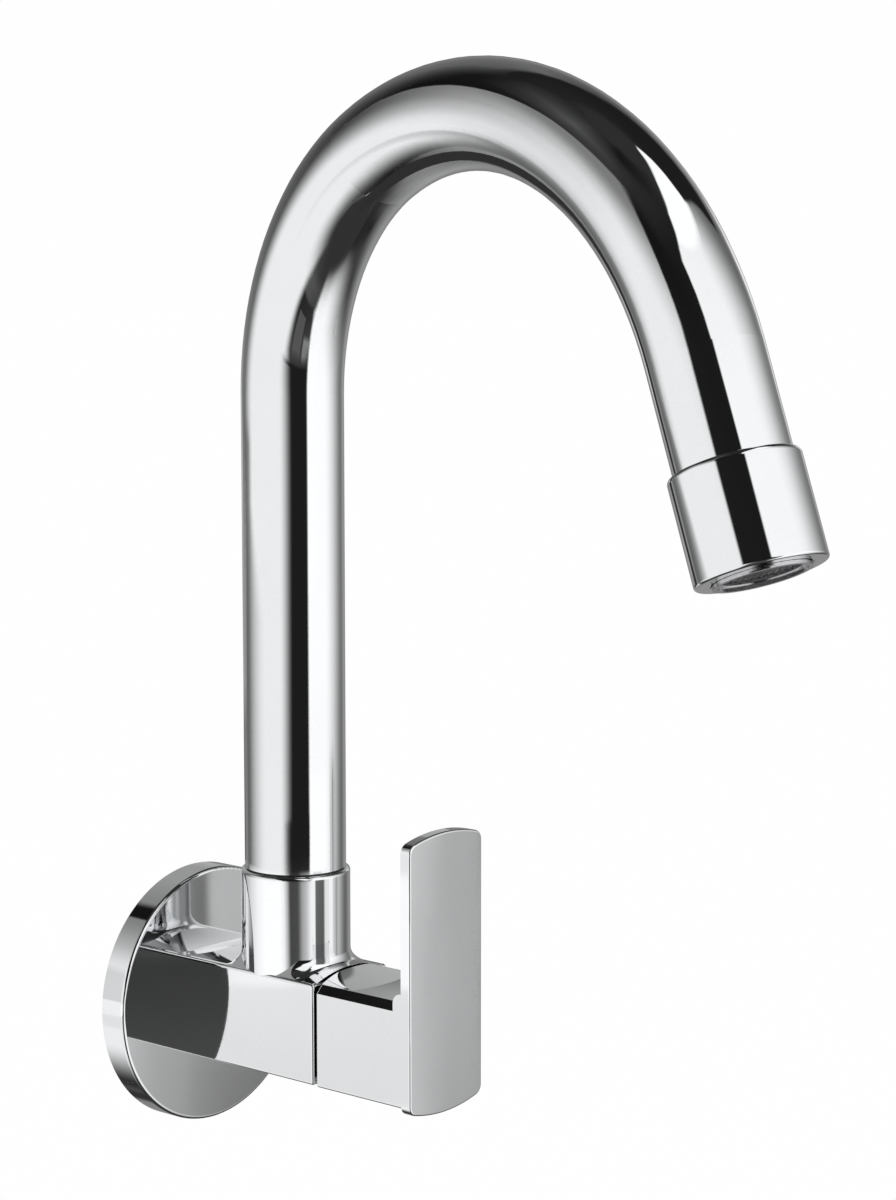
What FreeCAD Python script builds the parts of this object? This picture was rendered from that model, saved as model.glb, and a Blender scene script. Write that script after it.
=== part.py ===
import FreeCAD, Part
import os
import Sketcher
from math import atan2, cos, degrees, hypot, pi, radians, sin, sqrt

# Swivel spout sink tap for a wall. Millimetres and degrees.
# Origin: the inlet's axis at the wall plane. +Y goes into the wall, -Y comes out of it, +Z is up.

DIMENSIONS = {
    # Square valve body and its round turret
    "block_width": 27.0,
    "block_height": 25.0,
    "block_front": 53.5,
    "block_edge": 0.7,
    "wall_to_spout": 35.5,
    "turret_width": 27.0,
    "turret_top": 36.9,
    "turret_rim": 0.9,
    "flare_radius": 4.2,
    "flare_slope": 52.0,
    "saddle_rise": 2.2,
    "saddle_height": 3.6,
    "saddle_reach": 22.0,
    # Threaded inlet shank, a half inch pipe thread, screwed into the body's back
    "shank_length": 14.0,
    "shank_seat_width": 18.4,
    "shank_seat_depth": 22.0,
    "shank_clearance": 0.05,
    "thread_radius": 10.4775,
    "thread_pitch": 1.814,
    "thread_depth": 1.162,
    "thread_crest": 0.302,
    "thread_turns": 9,
    "shank_chamfer": 0.9,
    "inlet_bore": 12.0,
    "throat_bore": 9.5,
    "throat_length": 3.0,
    "seat_depth": 27.0,
    # Wall flange and its rubber ring
    "flange_width": 65.0,
    "flange_depth": 7.4,
    "flange_sheet": 1.2,
    "flange_edge": 0.9,
    "flange_clearance": 0.3,
    "flange_ring_width": 30.0,
    "flange_ring_height": 2.5,
    "flange_ring_clearance": 0.1,
    # Cartridge bonnet
    "bonnet_nose": 16.0,
    "bonnet_nose_gap": 0.3,
    "bonnet_thread": 20.0,
    "bonnet_thread_start": 44.0,
    "bonnet_collar": 22.0,
    "bonnet_collar_height": 1.5,
    "bonnet_clearance": 0.05,
    "chamber_bore": 18.4,
    "hexagon_flats": 17.0,
    "hexagon_height": 5.0,
    "disc_chamber": 14.2,
    "window_width": 5.5,
    "window_margin": 0.3,
    "bonnet_ring_section": 1.6,
    "ring_groove_clearance": 0.05,
    # Ceramic discs and seat seal
    "seal_height": 1.9,
    "seal_bore": 10.0,
    "disc_width": 13.6,
    "disc_height": 2.5,
    "disc_film": 0.02,
    "port_angle": 78.0,
    "port_inner": 4.0,
    "port_outer": 10.6,
    "key_width": 3.0,
    "key_clearance": 0.1,
    # Spindle, its stop and its seals
    "spindle_width": 8.0,
    "running_gap": 0.05,
    "tongue_width": 5.0,
    "tongue_length": 12.6,
    "tongue_depth": 1.2,
    "shoulder_width": 10.8,
    "shoulder_height": 1.8,
    "shoulder_end": 43.0,
    "thrust_height": 0.6,
    "lug_angle": 40.0,
    "lug_reach": 6.7,
    "stop_play": 2.0,
    "quarter_turn": 90.0,
    "spindle_ring_section": 1.3,
    "inner_ring_place": 47.0,
    "outer_ring_place": 51.5,
    "clip_gap": 0.2,
    "clip_sheet": 0.6,
    "clip_width": 10.4,
    "clip_depth": 0.7,
    "clip_mouth": 5.0,
    "spline_start": 61.5,
    "spline_end": 72.0,
    "spline_depth": 0.4,
    "spline_teeth": 20,
    "spline_clearance": 0.05,
    "adapter_width": 11.0,
    "adapter_clearance": 0.05,
    # Lever handle
    "split_gap": 0.8,
    "handle_inset": 0.3,
    "handle_rise": 12.4,
    "handle_drop": 12.8,
    "handle_front": 84.3,
    "handle_top_edge": 1.9,
    "handle_back_edge": 0.5,
    "handle_web": 2.5,
    "plate_sheet": 2.9,
    "plate_top": 52.2,
    "plate_bottom": 15.9,
    "plate_crown": 44.0,
    "plate_corner": 2.6,
    "plate_edge": 0.5,
    "hexagon_clearance": 0.8,
    "cavity_margin": 0.3,
    "lever_screw_width": 5.0,
    "lever_screw_length": 5.0,
    "lever_screw_place": 66.5,
    "lever_plug_width": 6.0,
    "lever_plug_height": 1.4,
    "screw_clearance": 0.05,
    "screw_key": 2.5,
    "screw_key_depth": 2.5,
    # Spout spigot in the turret
    "rest_swivel": -12.0,
    "spigot_width": 18.0,
    "spigot_bore": 11.0,
    "socket_floor": 17.0,
    "spigot_lift": 0.5,
    "spigot_tail": 12.0,
    "port_bore": 10.0,
    "port_reach": 4.0,
    "spigot_ring_section": 2.0,
    "lower_ring_place": 21.5,
    "upper_ring_place": 33.0,
    "retain_place": 27.5,
    "retain_width": 3.2,
    "retain_depth": 1.5,
    "spout_screw_width": 4.0,
    "spout_screw_tip": 2.4,
    "spout_screw_inset": 0.3,
    "spout_screw_reach": 7.8,
    "spout_screw_key": 2.0,
    "spout_screw_step": 0.2,
    "slip_ring_width": 23.8,
    "slip_ring_seat": 1.2,
    "slip_ring_clearance": 0.1,
    "foot_gap": 0.4,
    # Swan neck tube: straight, two blended bends, straight
    "tube_width": 25.0,
    "tube_wall": 1.0,
    "tube_straight": 116.1,
    "first_bend_radius": 62.9,
    "second_bend_radius": 81.1,
    "turn_one": 63.7,
    "turn_all": 157.9,
    "tube_tail": 23.1,
    "braze_clearance": 0.02,
    # Outlet and aerator, measured from the collar's top along the outlet
    "tube_tuck": 6.0,
    "bush_tail": 9.0,
    "bush_thread_length": 8.0,
    "bush_bore": 19.6,
    "shell_wall": 1.3,
    "shell_length": 23.1,
    "shell_clearance": 0.15,
    "shell_lip": 1.5,
    "shell_mouth": 21.4,
    "shell_shoulder": 1.2,
    "shell_edge": 0.6,
    "washer_height": 1.4,
    "cage_clearance": 0.1,
    "cage_nozzle": 20.8,
    "cage_bore": 18.6,
    "cage_proud": 0.8,
    "cage_pocket": 21.0,
    "cage_pocket_depth": 2.6,
    "cage_ledge_bore": 16.8,
    "cage_ledge_height": 0.6,
    "cage_ledge_inset": 1.0,
    "spreader_height": 1.6,
    "spreader_holes": 24,
    "spreader_hole": 0.9,
    "spreader_circle": 14.0,
    "core_width": 6.0,
    "core_tip": 2.0,
    "core_ribs": 8,
    "core_rib_sheet": 0.8,
    "core_gap": 0.3,
    "screen_height": 0.5,
    "screen_hole": 0.95,
    "screen_pitch": 1.3,
    "screen_margin": 0.6,
}

doc = FreeCAD.newDocument("sink_tap")
dims = doc.addObject("Spreadsheet::Sheet", "dims")
for row, (name, value) in enumerate(DIMENSIONS.items(), 1):
    dims.set(f"A{row}", name)
    dims.set(f"B{row}", str(value))
    dims.setAlias(f"B{row}", name)
doc.recompute()

Vector = FreeCAD.Vector
Placement = FreeCAD.Placement
Rotation = FreeCAD.Rotation
AXIS_X = Vector(1, 0, 0)
AXIS_Z = Vector(0, 0, 1)
OVERCUT = 1.0
pieces = []


def number(text):
    """The present value of a formula on the sheet's sizes."""
    return float(dims.evalExpression(text))


def bind(item, **formulas):
    """Tie properties to formulas on the sheet's sizes."""
    for key, text in formulas.items():
        item.setExpression(key.replace("_at_", "Placement.Base."), text)
    return item


def cylinder(name, radius, height, base=None, angle=None):
    item = doc.addObject("Part::Cylinder", name)
    bind(item, Radius=radius, Height=height)
    if base:
        bind(item, _at_z=base)
    if angle:
        bind(item, Angle=angle)
    return item


def box(name, length, width, height, x, y, z):
    item = doc.addObject("Part::Box", name)
    return bind(item, Length=length, Width=width, Height=height, _at_x=x, _at_y=y, _at_z=z)


def seal_ring(label, outer, section, place, height):
    """A round seal ring of this outer radius and section, some height along its own place's axis."""
    item = doc.addObject("Part::Torus", label)
    bind(item, Radius1=f"{outer} - {section} / 2", Radius2=f"{section} / 2")
    keep(item, label, place * Placement(Vector(0, 0, number(height)), Rotation()))


def hexagon(name, flats, height, base):
    item = doc.addObject("Part::Prism", name)
    item.Polygon = 6
    return bind(item, Circumradius=f"{flats} / sqrt(3)", Height=height, _at_z=base)


def fuse(name, *items):
    item = doc.addObject("Part::MultiFuse", name)
    item.Shapes = list(items)
    return item


def cut(name, base, *tools):
    item = doc.addObject("Part::Cut", name)
    item.Base = base
    item.Tool = tools[0] if len(tools) == 1 else fuse(name + "_tools", *tools)
    return item


def common(name, base, tool):
    item = doc.addObject("Part::Common", name)
    item.Base = base
    item.Tool = tool
    return item


def origin_plane(body, role):
    return next(item for item in body.Origin.OriginFeatures if item.Role == role)


def arc_between(start, end, radius, side):
    """A circle arc under a half turn; side is 1 where its centre lies left of the way from start to end."""
    way = end - start
    half = way.Length / 2
    height = sqrt(max(radius * radius - half * half, 0.0))
    left = Vector(-way.y, way.x, 0) / way.Length
    centre = (start + end) / 2 + left * (side * height)
    first, last = (start, end) if side > 0 else (end, start)
    turn_from = atan2(first.y - centre.y, first.x - centre.x)
    turn_to = atan2(last.y - centre.y, last.x - centre.x)
    return Part.ArcOfCircle(Part.Circle(centre, AXIS_Z, radius), turn_from, turn_to)


def outline(body, plane, points, offset=None):
    """A closed sketch. A point is (x, y), or (x, y, radius, side) where an arc leads to the next point."""
    sketch = body.newObject("Sketcher::SketchObject", body.Name + "_sketch")
    sketch.AttachmentSupport = [(origin_plane(body, plane), "")]
    sketch.MapMode = "FlatFace"
    if offset:
        sketch.setExpression("AttachmentOffset.Base.z", offset)
    spots = [Vector(number(point[0]), number(point[1]), 0) for point in points]
    count = len(points)
    ends = []
    for index, point in enumerate(points):
        start = spots[index]
        end = spots[(index + 1) % count]
        if len(point) == 2:
            sketch.addGeometry(Part.LineSegment(start, end), False)
            ends.append((1, 2))
        else:
            sketch.addGeometry(arc_between(start, end, number(point[2]), point[3]), False)
            ends.append((1, 2) if point[3] > 0 else (2, 1))
    for index in range(count):
        follower = (index + 1) % count
        sketch.addConstraint(Sketcher.Constraint("Coincident", index, ends[index][1], follower,
                                                 ends[follower][0]))
    for index, point in enumerate(points):
        tie(sketch, ("DistanceX", -1, 1, index, ends[index][0], spots[index].x), point[0])
        tie(sketch, ("DistanceY", -1, 1, index, ends[index][0], spots[index].y), point[1])
        if len(point) > 2:
            tie(sketch, ("Radius", index, number(point[2])), point[2])
    doc.recompute()
    return sketch


def tie(sketch, constraint, text):
    """A sketch constraint whose value follows a formula."""
    index = sketch.addConstraint(Sketcher.Constraint(*constraint))
    sketch.setExpression(f"Constraints[{index}]", text)


def turned(name, points):
    """A piece turned about its own Z axis from an outline of radius and height."""
    body = doc.addObject("PartDesign::Body", name)
    sketch = outline(body, "XZ_Plane", points)
    feature = body.newObject("PartDesign::Revolution", name + "_turning")
    feature.Profile = sketch
    feature.ReferenceAxis = (sketch, ["V_Axis"])
    feature.Angle = 360
    doc.recompute()
    return body


def padded(name, plane, points, length, offset=None, midplane=False):
    """A piece of one thickness from an outline."""
    body = doc.addObject("PartDesign::Body", name)
    feature = body.newObject("PartDesign::Pad", name + "_pad")
    feature.Profile = outline(body, plane, points, offset)
    feature.setExpression("Length", length)
    feature.Midplane = midplane
    doc.recompute()
    return body


def rounded(name, base, choices):
    """Round the chosen edges: choices is a list of (radius, test of an edge)."""
    doc.recompute()
    item = doc.addObject("Part::Fillet", name)
    item.Base = base
    edges = []
    for radius, test in choices:
        for index, edge in enumerate(base.Shape.Edges, 1):
            if test(edge):
                edges.append((index, number(radius), number(radius)))
    item.Edges = edges
    doc.recompute()
    return item


def bevelled_block(base, test):
    """Bevel the block's chosen edges."""
    doc.recompute()
    item = doc.addObject("Part::Chamfer", "bevelled_handle_block")
    item.Base = base
    width = number("dims.handle_top_edge")
    item.Edges = [(index, width, width) for index, edge in enumerate(base.Shape.Edges, 1) if test(edge)]
    doc.recompute()
    return item


def lies_at(edge, axis, value):
    """Whether every part of an edge has this coordinate."""
    box_ = edge.BoundBox
    low = (box_.XMin, box_.YMin, box_.ZMin)[axis]
    high = (box_.XMax, box_.YMax, box_.ZMax)[axis]
    return abs(low - value) < 1e-4 and abs(high - value) < 1e-4


def runs_along(edge, axis):
    """Whether an edge is longest along this axis and thin across it."""
    box_ = edge.BoundBox
    spans = [box_.XLength, box_.YLength, box_.ZLength]
    along = spans.pop(axis)
    return along > 1e-3 and max(spans) < 1e-3


def valve_place():
    """Valve pieces are drawn along their own Z, which points straight out of the wall; their Y is up."""
    return Placement(Vector(0, 0, 0), Rotation(AXIS_X, 90))


def turret_place():
    return Placement(Vector(0, -number("dims.wall_to_spout"), 0), Rotation())


def spout_place():
    """Spout pieces are drawn with -Y straight out, and rest turned as the tap is seen."""
    return turret_place() * Placement(Vector(), Rotation(AXIS_Z, number("dims.rest_swivel")))


def outlet_place():
    """Outlet pieces are drawn along their own Z, from the collar's top towards the mouth."""
    top = number(TUBE_TOP)
    first = number("dims.first_bend_radius")
    second = number("dims.second_bend_radius")
    blend = radians(number("dims.turn_one"))
    turn = radians(number("dims.turn_all"))
    out = first * (1 - cos(blend)) + second * (cos(blend) - cos(turn))
    up = top + first * sin(blend) + second * (sin(turn) - sin(blend))
    tail = number("dims.tube_tail")
    end = Vector(0, -out - tail * sin(turn), up + tail * cos(turn))
    return spout_place() * Placement(end, Rotation(AXIS_X, degrees(turn)))


def keep(item, label, place=None):
    """Name a finished piece and put it in its place."""
    item.Label = label
    if place is not None:
        item.Placement = place
    pieces.append(item)
    return item


# Formulas that several pieces share
BLOCK_TOP = "dims.block_height / 2"
TURRET_RADIUS = "dims.turret_width / 2"
FLANGE_BACK = "(dims.flange_depth - dims.flange_sheet)"
SEAL_TOP = "(dims.seat_depth + dims.seal_height)"
FIXED_TOP = f"({SEAL_TOP} + dims.disc_height)"
MOVING_BASE = f"({FIXED_TOP} + dims.disc_film)"
MOVING_TOP = f"({MOVING_BASE} + dims.disc_height)"
SHOULDER_BASE = "(dims.shoulder_end - dims.shoulder_height)"
CHAMBER_END = "(dims.shoulder_end + dims.thrust_height)"
HEXAGON_END = "(dims.block_front + dims.hexagon_height)"
SPLINE_TIP = "(dims.spindle_width / 2 - dims.running_gap)"
SPLINE_ROOT = "(dims.spindle_width / 2 - dims.spline_depth)"
HANDLE_WIDTH = "(dims.block_width - 2 * dims.handle_inset)"
HANDLE_BACK = "(dims.block_front + dims.split_gap)"
PLATE_BACK = "(dims.handle_front - dims.plate_sheet)"
TUBE_FOOT = "(dims.turret_top + dims.foot_gap)"
TUBE_TOP = f"({TUBE_FOOT} + dims.tube_straight)"
TUBE_BORE = "(dims.tube_width / 2 - dims.tube_wall)"
BUSH_END = "(dims.tube_tuck + dims.bush_thread_length)"
CAGE_BASE = f"({BUSH_END} + dims.washer_height)"
LIP_BASE = "(dims.shell_length - dims.shell_lip)"
CAGE_END = "(dims.shell_length + dims.cage_proud)"
SPREADER_END = f"({CAGE_BASE} + dims.cage_pocket_depth)"
LEDGE_BASE = f"({CAGE_END} - dims.cage_ledge_inset - dims.cage_ledge_height)"


def flare():
    """The cove of metal round the turret's foot."""
    outer = f"{TURRET_RADIUS} + dims.flare_radius"
    inner = f"{TURRET_RADIUS} - 2 * dims.turret_rim"
    points = [
        (inner, f"{BLOCK_TOP} - dims.block_edge"),
        (outer, f"{BLOCK_TOP} - dims.block_edge"),
        (outer, BLOCK_TOP, "dims.flare_radius", -1),
        (TURRET_RADIUS, f"{BLOCK_TOP} + dims.flare_radius"),
        (inner, f"{BLOCK_TOP} + dims.flare_radius"),
    ]
    body = turned("flare", points)
    body.Placement = turret_place()
    return body


def saddle():
    """The low slope that runs down from the turret's foot, out over the block and the lever."""
    base = f"({BLOCK_TOP} - dims.handle_inset)"
    rise = f"({BLOCK_TOP} + dims.saddle_height - {base})"
    slope = f"(dims.saddle_reach ^ 2 + {rise} ^ 2) / (2 * {rise})"
    inner = f"{TURRET_RADIUS} - 2 * dims.turret_rim"
    points = [
        (inner, f"{base} - dims.block_edge"),
        (f"{TURRET_RADIUS} + dims.saddle_reach", f"{base} - dims.block_edge"),
        (f"{TURRET_RADIUS} + dims.saddle_reach", base, slope, -1),
        (TURRET_RADIUS, f"{BLOCK_TOP} + dims.saddle_height"),
        (inner, f"{BLOCK_TOP} + dims.saddle_height"),
    ]
    body = turned("saddle", points)
    body.Placement = turret_place()
    return body


def vault(name, half, start, end):
    """The shallow arch across the block that the saddle keeps under, over one stretch of it."""
    base = f"({BLOCK_TOP} - dims.handle_inset)"
    rise = f"({BLOCK_TOP} + dims.saddle_rise - {base})"
    arch = f"({half} ^ 2 + {rise} ^ 2) / (2 * {rise})"
    return padded(name, "XZ_Plane", [(f"-({half})", base), (half, base, arch, 1)], f"{end} - {start}",
                  offset=start)


def roof(name, half, base, start, end):
    """The sloping sides that trim the cove, over one stretch of the block."""
    rise = "dims.flare_radius"
    points = [
        (f"-({half})", base),
        (half, base),
        (f"{half} - {rise} / tan(dims.flare_slope)", f"{base} + {rise}"),
        (f"-({half}) + {rise} / tan(dims.flare_slope)", f"{base} + {rise}"),
    ]
    return padded(name, "XZ_Plane", points, f"{end} - {start}", offset=start)


def inlet_shank():
    """The threaded inlet: ring shaped thread crests on a tube that is seated in the body."""
    root = "(dims.thread_radius - dims.thread_depth)"
    flank = "(dims.thread_pitch / 2 - dims.thread_crest)"
    begin = "(-dims.shank_length + dims.shank_chamfer)"
    bore = "dims.inlet_bore / 2"
    seat = "dims.shank_seat_width / 2"
    points = [(bore, "-dims.shank_length"), (f"{root} - dims.thread_crest", "-dims.shank_length"),
              (root, begin)]
    for turn in range(int(number("dims.thread_turns"))):
        low = f"{begin} + {turn} * dims.thread_pitch"
        points.append((root, f"{low} + dims.thread_crest"))
        points.append(("dims.thread_radius", f"{low} + dims.thread_crest + {flank}"))
        points.append(("dims.thread_radius", f"{low} + 2 * dims.thread_crest + {flank}"))
        points.append((root, f"{low} + 2 * dims.thread_crest + 2 * {flank}"))
    points += [(root, "dims.flange_depth"), (seat, "dims.flange_depth"), (seat, "dims.shank_seat_depth"),
               (bore, "dims.shank_seat_depth")]
    keep(turned("inlet_shank", points), "inlet_shank", valve_place())


def valve_body(flare_ring, saddle_ring):
    """The brass casting: block, turret, cove and saddle, with its waterways."""
    block = box("block", "dims.block_width", "dims.block_front - dims.flange_depth", "dims.block_height",
                "-dims.block_width / 2", "-dims.block_front", f"-{BLOCK_TOP}")
    front = -number("dims.block_front")
    soft_block = rounded("soft_block", block, [
        ("dims.block_edge", lambda edge: runs_along(edge, 1) or lies_at(edge, 1, front))])
    turret = turned("turret", [
        ("0", "0"), (TURRET_RADIUS, "0"),
        (TURRET_RADIUS, "dims.turret_top - dims.turret_rim", "dims.turret_rim", 1),
        (f"{TURRET_RADIUS} - dims.turret_rim", "dims.turret_top"), ("0", "dims.turret_top")])
    turret.Placement = turret_place()
    flare_part = common("body_flare", flare_ring,
                        roof("body_roof", "(dims.block_width / 2 - dims.block_edge)",
                        f"{BLOCK_TOP} - 0.5 * dims.block_edge", "dims.flange_depth", "dims.block_front"))
    saddle_part = common("body_saddle", saddle_ring,
                         vault("body_vault", "(dims.block_width / 2 - dims.block_edge)",
                               "dims.flange_depth", "dims.block_front"))
    casting = fuse("casting", soft_block, turret, flare_part, saddle_part)
    cavity = turned("valve_cavity", [
        ("0", f"dims.flange_depth - {OVERCUT}"),
        ("dims.shank_seat_width / 2 + dims.shank_clearance", f"dims.flange_depth - {OVERCUT}"),
        ("dims.shank_seat_width / 2 + dims.shank_clearance", "dims.shank_seat_depth"),
        ("dims.inlet_bore / 2", "dims.shank_seat_depth"),
        ("dims.inlet_bore / 2", "dims.seat_depth - dims.throat_length"),
        ("dims.throat_bore / 2", "dims.seat_depth - dims.throat_length"),
        ("dims.throat_bore / 2", "dims.seat_depth"),
        ("dims.chamber_bore / 2", "dims.seat_depth"),
        ("dims.chamber_bore / 2", "dims.bonnet_thread_start"),
        ("dims.bonnet_thread / 2 + dims.bonnet_clearance", "dims.bonnet_thread_start"),
        ("dims.bonnet_thread / 2 + dims.bonnet_clearance", "dims.block_front - dims.bonnet_collar_height"),
        ("dims.bonnet_collar / 2 + dims.bonnet_clearance", "dims.block_front - dims.bonnet_collar_height"),
        ("dims.bonnet_collar / 2 + dims.bonnet_clearance", f"dims.block_front + {OVERCUT}"),
        ("0", f"dims.block_front + {OVERCUT}")])
    cavity.Placement = valve_place()
    pocket = "dims.slip_ring_width / 2 + dims.slip_ring_clearance"
    socket = "dims.spigot_width / 2 + dims.running_gap"
    riser = turned("turret_cavity", [
        ("0", "dims.port_reach"),
        ("dims.port_bore / 2", "dims.port_reach"),
        ("dims.port_bore / 2", "dims.socket_floor"),
        (socket, "dims.socket_floor"),
        (socket, "dims.turret_top - dims.slip_ring_seat"),
        (pocket, "dims.turret_top - dims.slip_ring_seat"),
        (pocket, f"dims.turret_top + {OVERCUT}"),
        ("0", f"dims.turret_top + {OVERCUT}")])
    riser.Placement = turret_place()
    screw_hole = cylinder("spout_screw_hole", "dims.spout_screw_width / 2 + dims.screw_clearance",
                          f"dims.turret_width / 2 + {OVERCUT}")
    screw_hole.Placement = Placement(Vector(0, -number("dims.wall_to_spout"), number("dims.retain_place")),
                                     Rotation(AXIS_X, -90))
    keep(cut("valve_body", casting, cavity, riser, screw_hole), "valve_body")


def wall_flange():
    outer = "dims.flange_width / 2"
    hole = "dims.thread_radius + dims.flange_clearance"
    points = [
        (hole, FLANGE_BACK), (f"{outer} - dims.flange_sheet", FLANGE_BACK),
        (f"{outer} - dims.flange_sheet", "0"),
        (outer, "0"), (outer, "dims.flange_depth - dims.flange_edge", "dims.flange_edge", 1),
        (f"{outer} - dims.flange_edge", "dims.flange_depth"), (hole, "dims.flange_depth")]
    keep(turned("wall_flange", points), "wall_flange", valve_place())
    inner = "dims.thread_radius + dims.flange_ring_clearance"
    low = f"{FLANGE_BACK} - dims.flange_ring_height"
    points = [(inner, low), ("dims.flange_ring_width / 2", low), ("dims.flange_ring_width / 2", FLANGE_BACK),
              (inner, FLANGE_BACK)]
    keep(turned("flange_washer", points), "flange_washer", valve_place())


def bonnet():
    """The cartridge housing: nose, threaded part, collar and hexagon round a stepped bore."""
    nose = "dims.bonnet_nose / 2"
    tip = "dims.seat_depth + dims.bonnet_nose_gap"
    groove = "(dims.bonnet_ring_section + 2 * dims.ring_groove_clearance)"
    groove_floor = "dims.bonnet_thread / 2 - dims.bonnet_ring_section - dims.ring_groove_clearance"
    collar = "dims.block_front - dims.bonnet_collar_height"
    bore = "dims.spindle_width / 2 + dims.running_gap"
    points = [
        ("dims.disc_chamber / 2", tip), (nose, tip), (nose, "dims.bonnet_thread_start"),
        ("dims.bonnet_thread / 2", "dims.bonnet_thread_start"),
        ("dims.bonnet_thread / 2", f"{collar} - {groove}"),
        (groove_floor, f"{collar} - {groove}"), (groove_floor, collar), ("dims.bonnet_collar / 2", collar),
        ("dims.bonnet_collar / 2", "dims.block_front"), (bore, "dims.block_front"), (bore, CHAMBER_END),
        ("dims.disc_chamber / 2", CHAMBER_END)]
    sleeve = turned("bonnet_sleeve", points)
    prism = hexagon("bonnet_hexagon", "dims.hexagon_flats", f"{HEXAGON_END} - dims.block_front",
                    "dims.block_front")
    nut = cut("bonnet_nut", prism, cylinder("bonnet_nut_bore", bore, HEXAGON_END))
    stop_base = f"{SHOULDER_BASE} + dims.window_margin"
    stop_height = f"{CHAMBER_END} - {SHOULDER_BASE} - dims.window_margin"
    stop_angle = "360 - dims.quarter_turn - dims.lug_angle - 2 * dims.stop_play"
    stop_outer = cylinder("stop_outer", f"(dims.disc_chamber / 2 + {nose}) / 2", stop_height, stop_base,
                          stop_angle)
    stop_inner = cylinder("stop_inner", "dims.shoulder_width / 2 + dims.window_margin", HEXAGON_END)
    stop = cut("stop", stop_outer, stop_inner)
    start = 90 + number("dims.lug_angle / 2 + dims.quarter_turn + dims.stop_play")
    stop.Placement = Placement(Vector(), Rotation(AXIS_Z, start))
    window_low = f"{MOVING_TOP} + dims.window_margin"
    window_height = f"{SHOULDER_BASE} - {MOVING_TOP} - 2 * dims.window_margin"
    reach = f"(dims.bonnet_nose + 2 * {OVERCUT})"
    window_a = box("window_a", reach, "dims.window_width", window_height, f"-{reach} / 2",
                   "-dims.window_width / 2",
                   window_low)
    window_b = box("window_b", "dims.window_width", reach, window_height, "-dims.window_width / 2",
                   f"-{reach} / 2",
                   window_low)
    slot = "dims.key_width + 2 * dims.key_clearance"
    slot_height = f"{FIXED_TOP} - dims.seat_depth"
    slots = box("key_slots", reach, slot, slot_height, f"-{reach} / 2", f"-({slot}) / 2", "dims.seat_depth")
    keep(cut("bonnet", fuse("bonnet_blank", sleeve, nut, stop), window_a, window_b, slots), "bonnet",
         valve_place())
    seal_ring("bonnet_ring", "dims.bonnet_thread / 2", "dims.bonnet_ring_section", valve_place(),
              f"{collar} - {groove} / 2")


def disc_ports(name, base, start):
    """The two opposite sector shaped ports of a ceramic disc."""
    ports = []
    for side in (0, 180):
        label = f"{name}_port_{side}"
        outer = cylinder(label + "_outer", "dims.port_outer / 2", f"dims.disc_height + 2 * {OVERCUT}",
                         f"{base} - {OVERCUT}", "dims.port_angle")
        outer.Placement.Rotation = Rotation(AXIS_Z, start + side - number("dims.port_angle") / 2)
        inner = cylinder(label + "_inner", "dims.port_inner / 2", f"dims.disc_height + 4 * {OVERCUT}",
                         f"{base} - 2 * {OVERCUT}")
        ports.append(cut(label, outer, inner))
    return ports


def ceramic_discs():
    seal_wall = "dims.disc_width / 2 - dims.key_clearance"
    points = [("dims.seal_bore / 2", "dims.seat_depth"), (seal_wall, "dims.seat_depth"),
              (seal_wall, SEAL_TOP),
              ("dims.seal_bore / 2", SEAL_TOP)]
    keep(turned("seat_seal", points), "seat_seal", valve_place())
    plate = cylinder("fixed_plate", "dims.disc_width / 2", "dims.disc_height", SEAL_TOP)
    keys = box("fixed_keys", "dims.bonnet_nose", "dims.key_width", "dims.disc_height",
               "-dims.bonnet_nose / 2",
               "-dims.key_width / 2", SEAL_TOP)
    blank = fuse("fixed_blank", plate, keys)
    keep(cut("fixed_disc", blank, *disc_ports("fixed", SEAL_TOP, 90)), "fixed_disc", valve_place())
    plate = cylinder("moving_plate", "dims.disc_width / 2", "dims.disc_height", MOVING_BASE)
    slot_width = "dims.tongue_width + 2 * dims.key_clearance"
    slot = box("moving_slot", slot_width, f"dims.disc_width + 2 * {OVERCUT}",
               f"dims.tongue_depth + {OVERCUT}", f"-({slot_width}) / 2",
               f"-dims.disc_width / 2 - {OVERCUT}", f"{MOVING_TOP} - dims.tongue_depth")
    keep(cut("moving_disc", plate, slot, *disc_ports("moving", MOVING_BASE, 0)), "moving_disc", valve_place())


def star(name, tip, root, base, end):
    """A splined rod: straight sided teeth between two radii."""
    teeth = int(number("dims.spline_teeth"))
    points = []
    for index in range(2 * teeth):
        radius = tip if index % 2 == 0 else root
        turn = f"{index} * 180 / dims.spline_teeth"
        points.append((f"({radius}) * cos({turn})", f"({radius}) * sin({turn})"))
    return padded(name, "XY_Plane", points, f"{end} - {base}", offset=base)


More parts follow.
